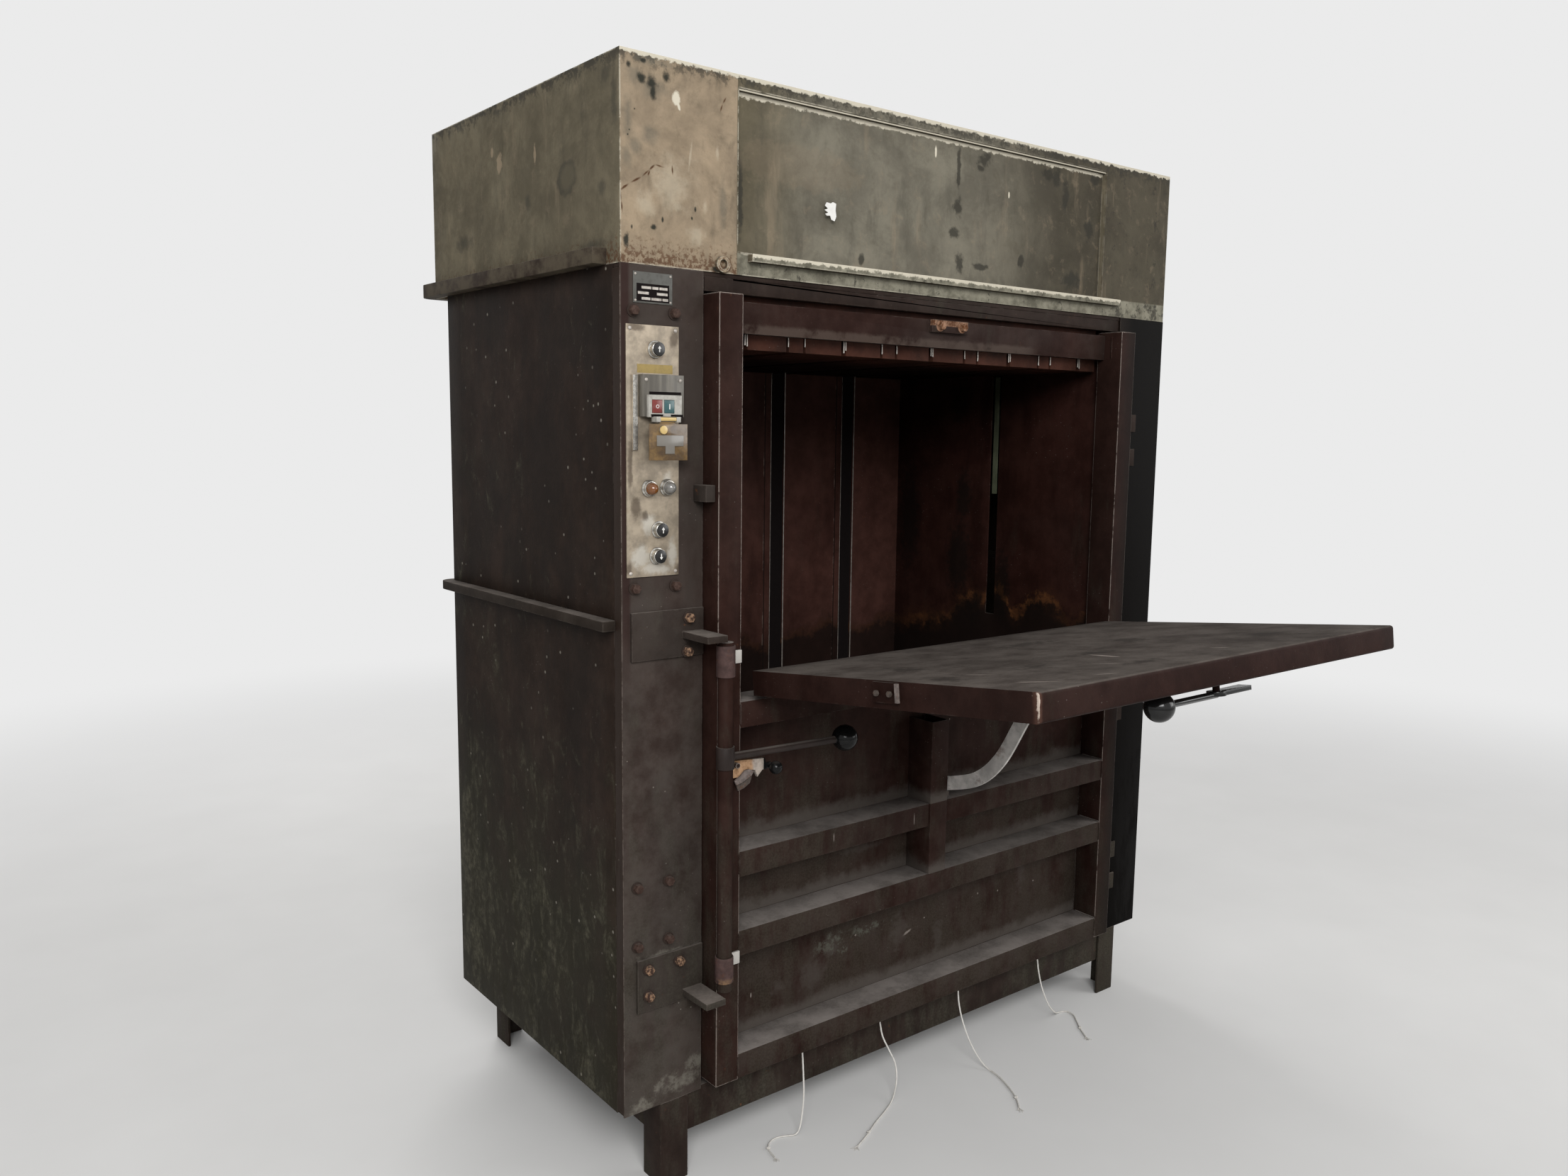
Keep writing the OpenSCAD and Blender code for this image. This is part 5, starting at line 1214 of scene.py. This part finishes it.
def make_details():
    # Worn edges of the slots in the chamber's rear wall, and black strips behind them as painted shade
    bm = bmesh.new()
    for x in SLOT_XS:
        for side, wide in ((1, 2.4), (-1, 1.0)):
            edge = x + side * 21
            box(bm, (min(edge, edge + side * wide), 689.2, 240), (max(edge, edge + side * wide), 690.3, 1610))
    mesh_piece("s_slot_edges", bm, "frame", "worn_steel")
    bm = bmesh.new()
    for x in SLOT_XS:
        box(bm, (x - 24, 694.4, 226), (x + 24, 695.6, 1618))
    mesh_piece("s_slot_shade", bm, "frame", "black_and_shade")
    # What shows in the right wall's slot above the arms
    bar("s_guide_upper", (548, 330, 1240), (551, 344, 1534), "frame", "guide_green")
    # Bright edges of the platen's slits
    bm = bmesh.new()
    cuts = [x + side * 20 for x in SLOT_XS for side in (-1, 1)]
    for i in range(-2, 3):
        cuts += [237 * i - 1.5, 237 * i + 3.5]
    for x in cuts:
        low = 1542 + rng.uniform(0, 7)
        box(bm, (x + 0.2, 28.9, low), (x + rng.uniform(1.7, 2.5), 30.4, 1572))
    mesh_piece("s_slit_edges", bm, node_body["platen"], "worn_steel")
    # Bolts of the small bracket on the flap's left side
    bm = bmesh.new()
    for s in (350, 380):
        c = Vector(on_flap(-520, s, 26))
        hexagon = [(5 * math.cos(math.pi / 3 * k), 5 * math.sin(math.pi / 3 * k)) for k in range(6)]
        near, far = ([bm.verts.new(at(c.x + off, c.y + u, c.z + w)) for u, w in hexagon] for off in (-4, 0.5))
        bm.faces.new(near)
        bm.faces.new(far)
        walls(bm, near, far)
    rounded(bm, 0.0006)
    mesh_piece("s_flap_bolts", bm, node_body["flap_panel"], "dull_steel")
    # Its upright tab
    bm = bmesh.new()
    block(bm, [at(*on_flap(x, s, t)) for x in (-523.5, -519.5) for s in (394, 401) for t in (13, 43)])
    rounded(bm, 0.0008)
    mesh_piece("s_flap_tab", bm, node_body["flap_panel"], "bush_grey")
    make_catch()
    # A torn scrap of white film on the cover
    bm = bmesh.new()
    scrap = [(-313, 1806), (-309, 1812), (-299, 1811), (-294, 1814), (-286, 1812), (-287, 1800), (-285, 1789),
             (-289, 1780), (-297, 1782), (-300, 1789), (-308, 1788), (-312, 1791), (-305, 1794), (-314, 1798),
             (-306, 1801)]
    prism(bm, scrap, 2.5, 3)
    mesh_piece("s_cover_scrap", bm, "frame", "mark_white")


def bead(bm, a, b, radius=2.4):
    """A weld bead between two points."""
    a, b = at(*a), at(*b)
    count = max(3, int((b - a).length / (1.6 * MM)))
    path = [a.lerp(b, i / count) for i in range(count + 1)]
    wave = rng.uniform(0, 6)

    def ripple(i, turn):
        end = min(1.0, 0.45 + min(i, count - i) * 0.3)
        return radius * MM * end * (0.86 + 0.14 * math.cos(2.1 * i + wave) + 0.1 * noise.noise(path[i] * 90))

    tube(bm, path, ripple, 8)


def make_welds():
    x0, x1 = (corner[0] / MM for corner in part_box("door_ribs"))
    bm = bmesh.new()
    for top in RIB_TOPS:
        for x in (x0 + 0.6, x1 - 0.6):
            bead(bm, (x, -45.2, top - RIB_H + 4), (x, -45.2, top - 3))
            bead(bm, (x, -44, top + 0.2), (x, 15, top + 0.2))
    for side in (-1, 1):
        bead(bm, (side * (x1 - 0.6), -18.4, 1566), (side * (x1 - 0.6), -18.4, 1615))
    mesh_piece("s_door_welds", bm, "door", "door_paint")
    bm = bmesh.new()
    for side in (-1, 1):
        for a, b in (((675, 0.8, 162.4), (616, 0.8, 162.4)), ((674.4, 2, 162.4), (674.4, 58, 162.4))):
            bead(bm, (side * a[0], a[1], a[2]), (side * b[0], b[1], b[2]), 2.0)
    mesh_piece("s_leg_welds", bm, "frame", "frame_paint")


make_details()
make_welds()


# Floor and light. BACK is the level of the white background, into which the floor fades
BACK = 0.83


def make_stage():
    bm = bmesh.new()
    bmesh.ops.create_circle(bm, cap_ends=True, segments=64, radius=14)
    floor = mesh_object("floor", bm)
    s = Shader("floor", 0.9, specular=0.1)
    far = s.node("ShaderNodeVectorMath", {0: s.place}, out=1, operation="LENGTH")
    s.tone = s.mix(s.noise(3, 4), (0.6, 0.595, 0.585), (0.66, 0.655, 0.645))
    s.bump(s.noise(160, 4), 0.08, 0.0006)
    s.finish()
    path = s.tree.nodes.new("ShaderNodeLightPath")
    glow = s.tree.nodes.new("ShaderNodeEmission")
    glow.inputs["Color"].default_value = (BACK, BACK, BACK, 1)
    blend = s.tree.nodes.new("ShaderNodeMixShader")
    fade = s.both(s.step(far, 1.9, 5.5), path.outputs["Is Camera Ray"])
    s.tree.links.new(fade, blend.inputs[0])
    s.tree.links.new(s.bsdf.outputs[0], blend.inputs[1])
    s.tree.links.new(glow.outputs[0], blend.inputs[2])
    out = next(n for n in s.tree.nodes if n.type == "OUTPUT_MATERIAL")
    s.tree.links.new(blend.outputs[0], out.inputs["Surface"])
    floor.data.materials.append(s.mat)


def area(name, place, target, size, power):
    data = bpy.data.lights.new(name, "AREA")
    data.shape = "RECTANGLE"
    data.size, data.size_y = size
    data.energy = power
    lamp = link(bpy.data.objects.new(name, data))
    lamp.location = place
    lamp.rotation_euler = (Vector(target) - Vector(place)).to_track_quat("-Z", "Y").to_euler()


def make_light():
    world = bpy.data.worlds.new("world")
    bpy.context.scene.world = world
    world.use_nodes = True
    tree = world.node_tree
    back = tree.nodes["Background"]
    path = tree.nodes.new("ShaderNodeLightPath")
    seen = path.outputs["Is Camera Ray"]
    for ray in ("Is Glossy Ray", "Is Transmission Ray"):
        either = tree.nodes.new("ShaderNodeMath")
        either.operation = "MAXIMUM"
        tree.links.new(seen, either.inputs[0])
        tree.links.new(path.outputs[ray], either.inputs[1])
        seen = either.outputs[0]
    level = tree.nodes.new("ShaderNodeMapRange")
    level.inputs["To Min"].default_value = 0.5
    level.inputs["To Max"].default_value = BACK
    tree.links.new(seen, level.inputs["Value"])
    tree.links.new(level.outputs[0], back.inputs["Strength"])
    back.inputs["Color"].default_value = (1, 1, 1, 1)
    area("key", (-2.6, -3.6, 3.2), (0, 0, 1.0), (2.4, 2.0), 190)
    area("fill", (3.0, -3.0, 2.4), (0, 0, 1.0), (2.4, 2.4), 60)
    area("rear", (0.5, 3.6, 3.2), (0, 0.3, 1.2), (2.6, 2.0), 80)


make_stage()
make_light()
bpy.context.scene.view_settings.view_transform = "Standard"
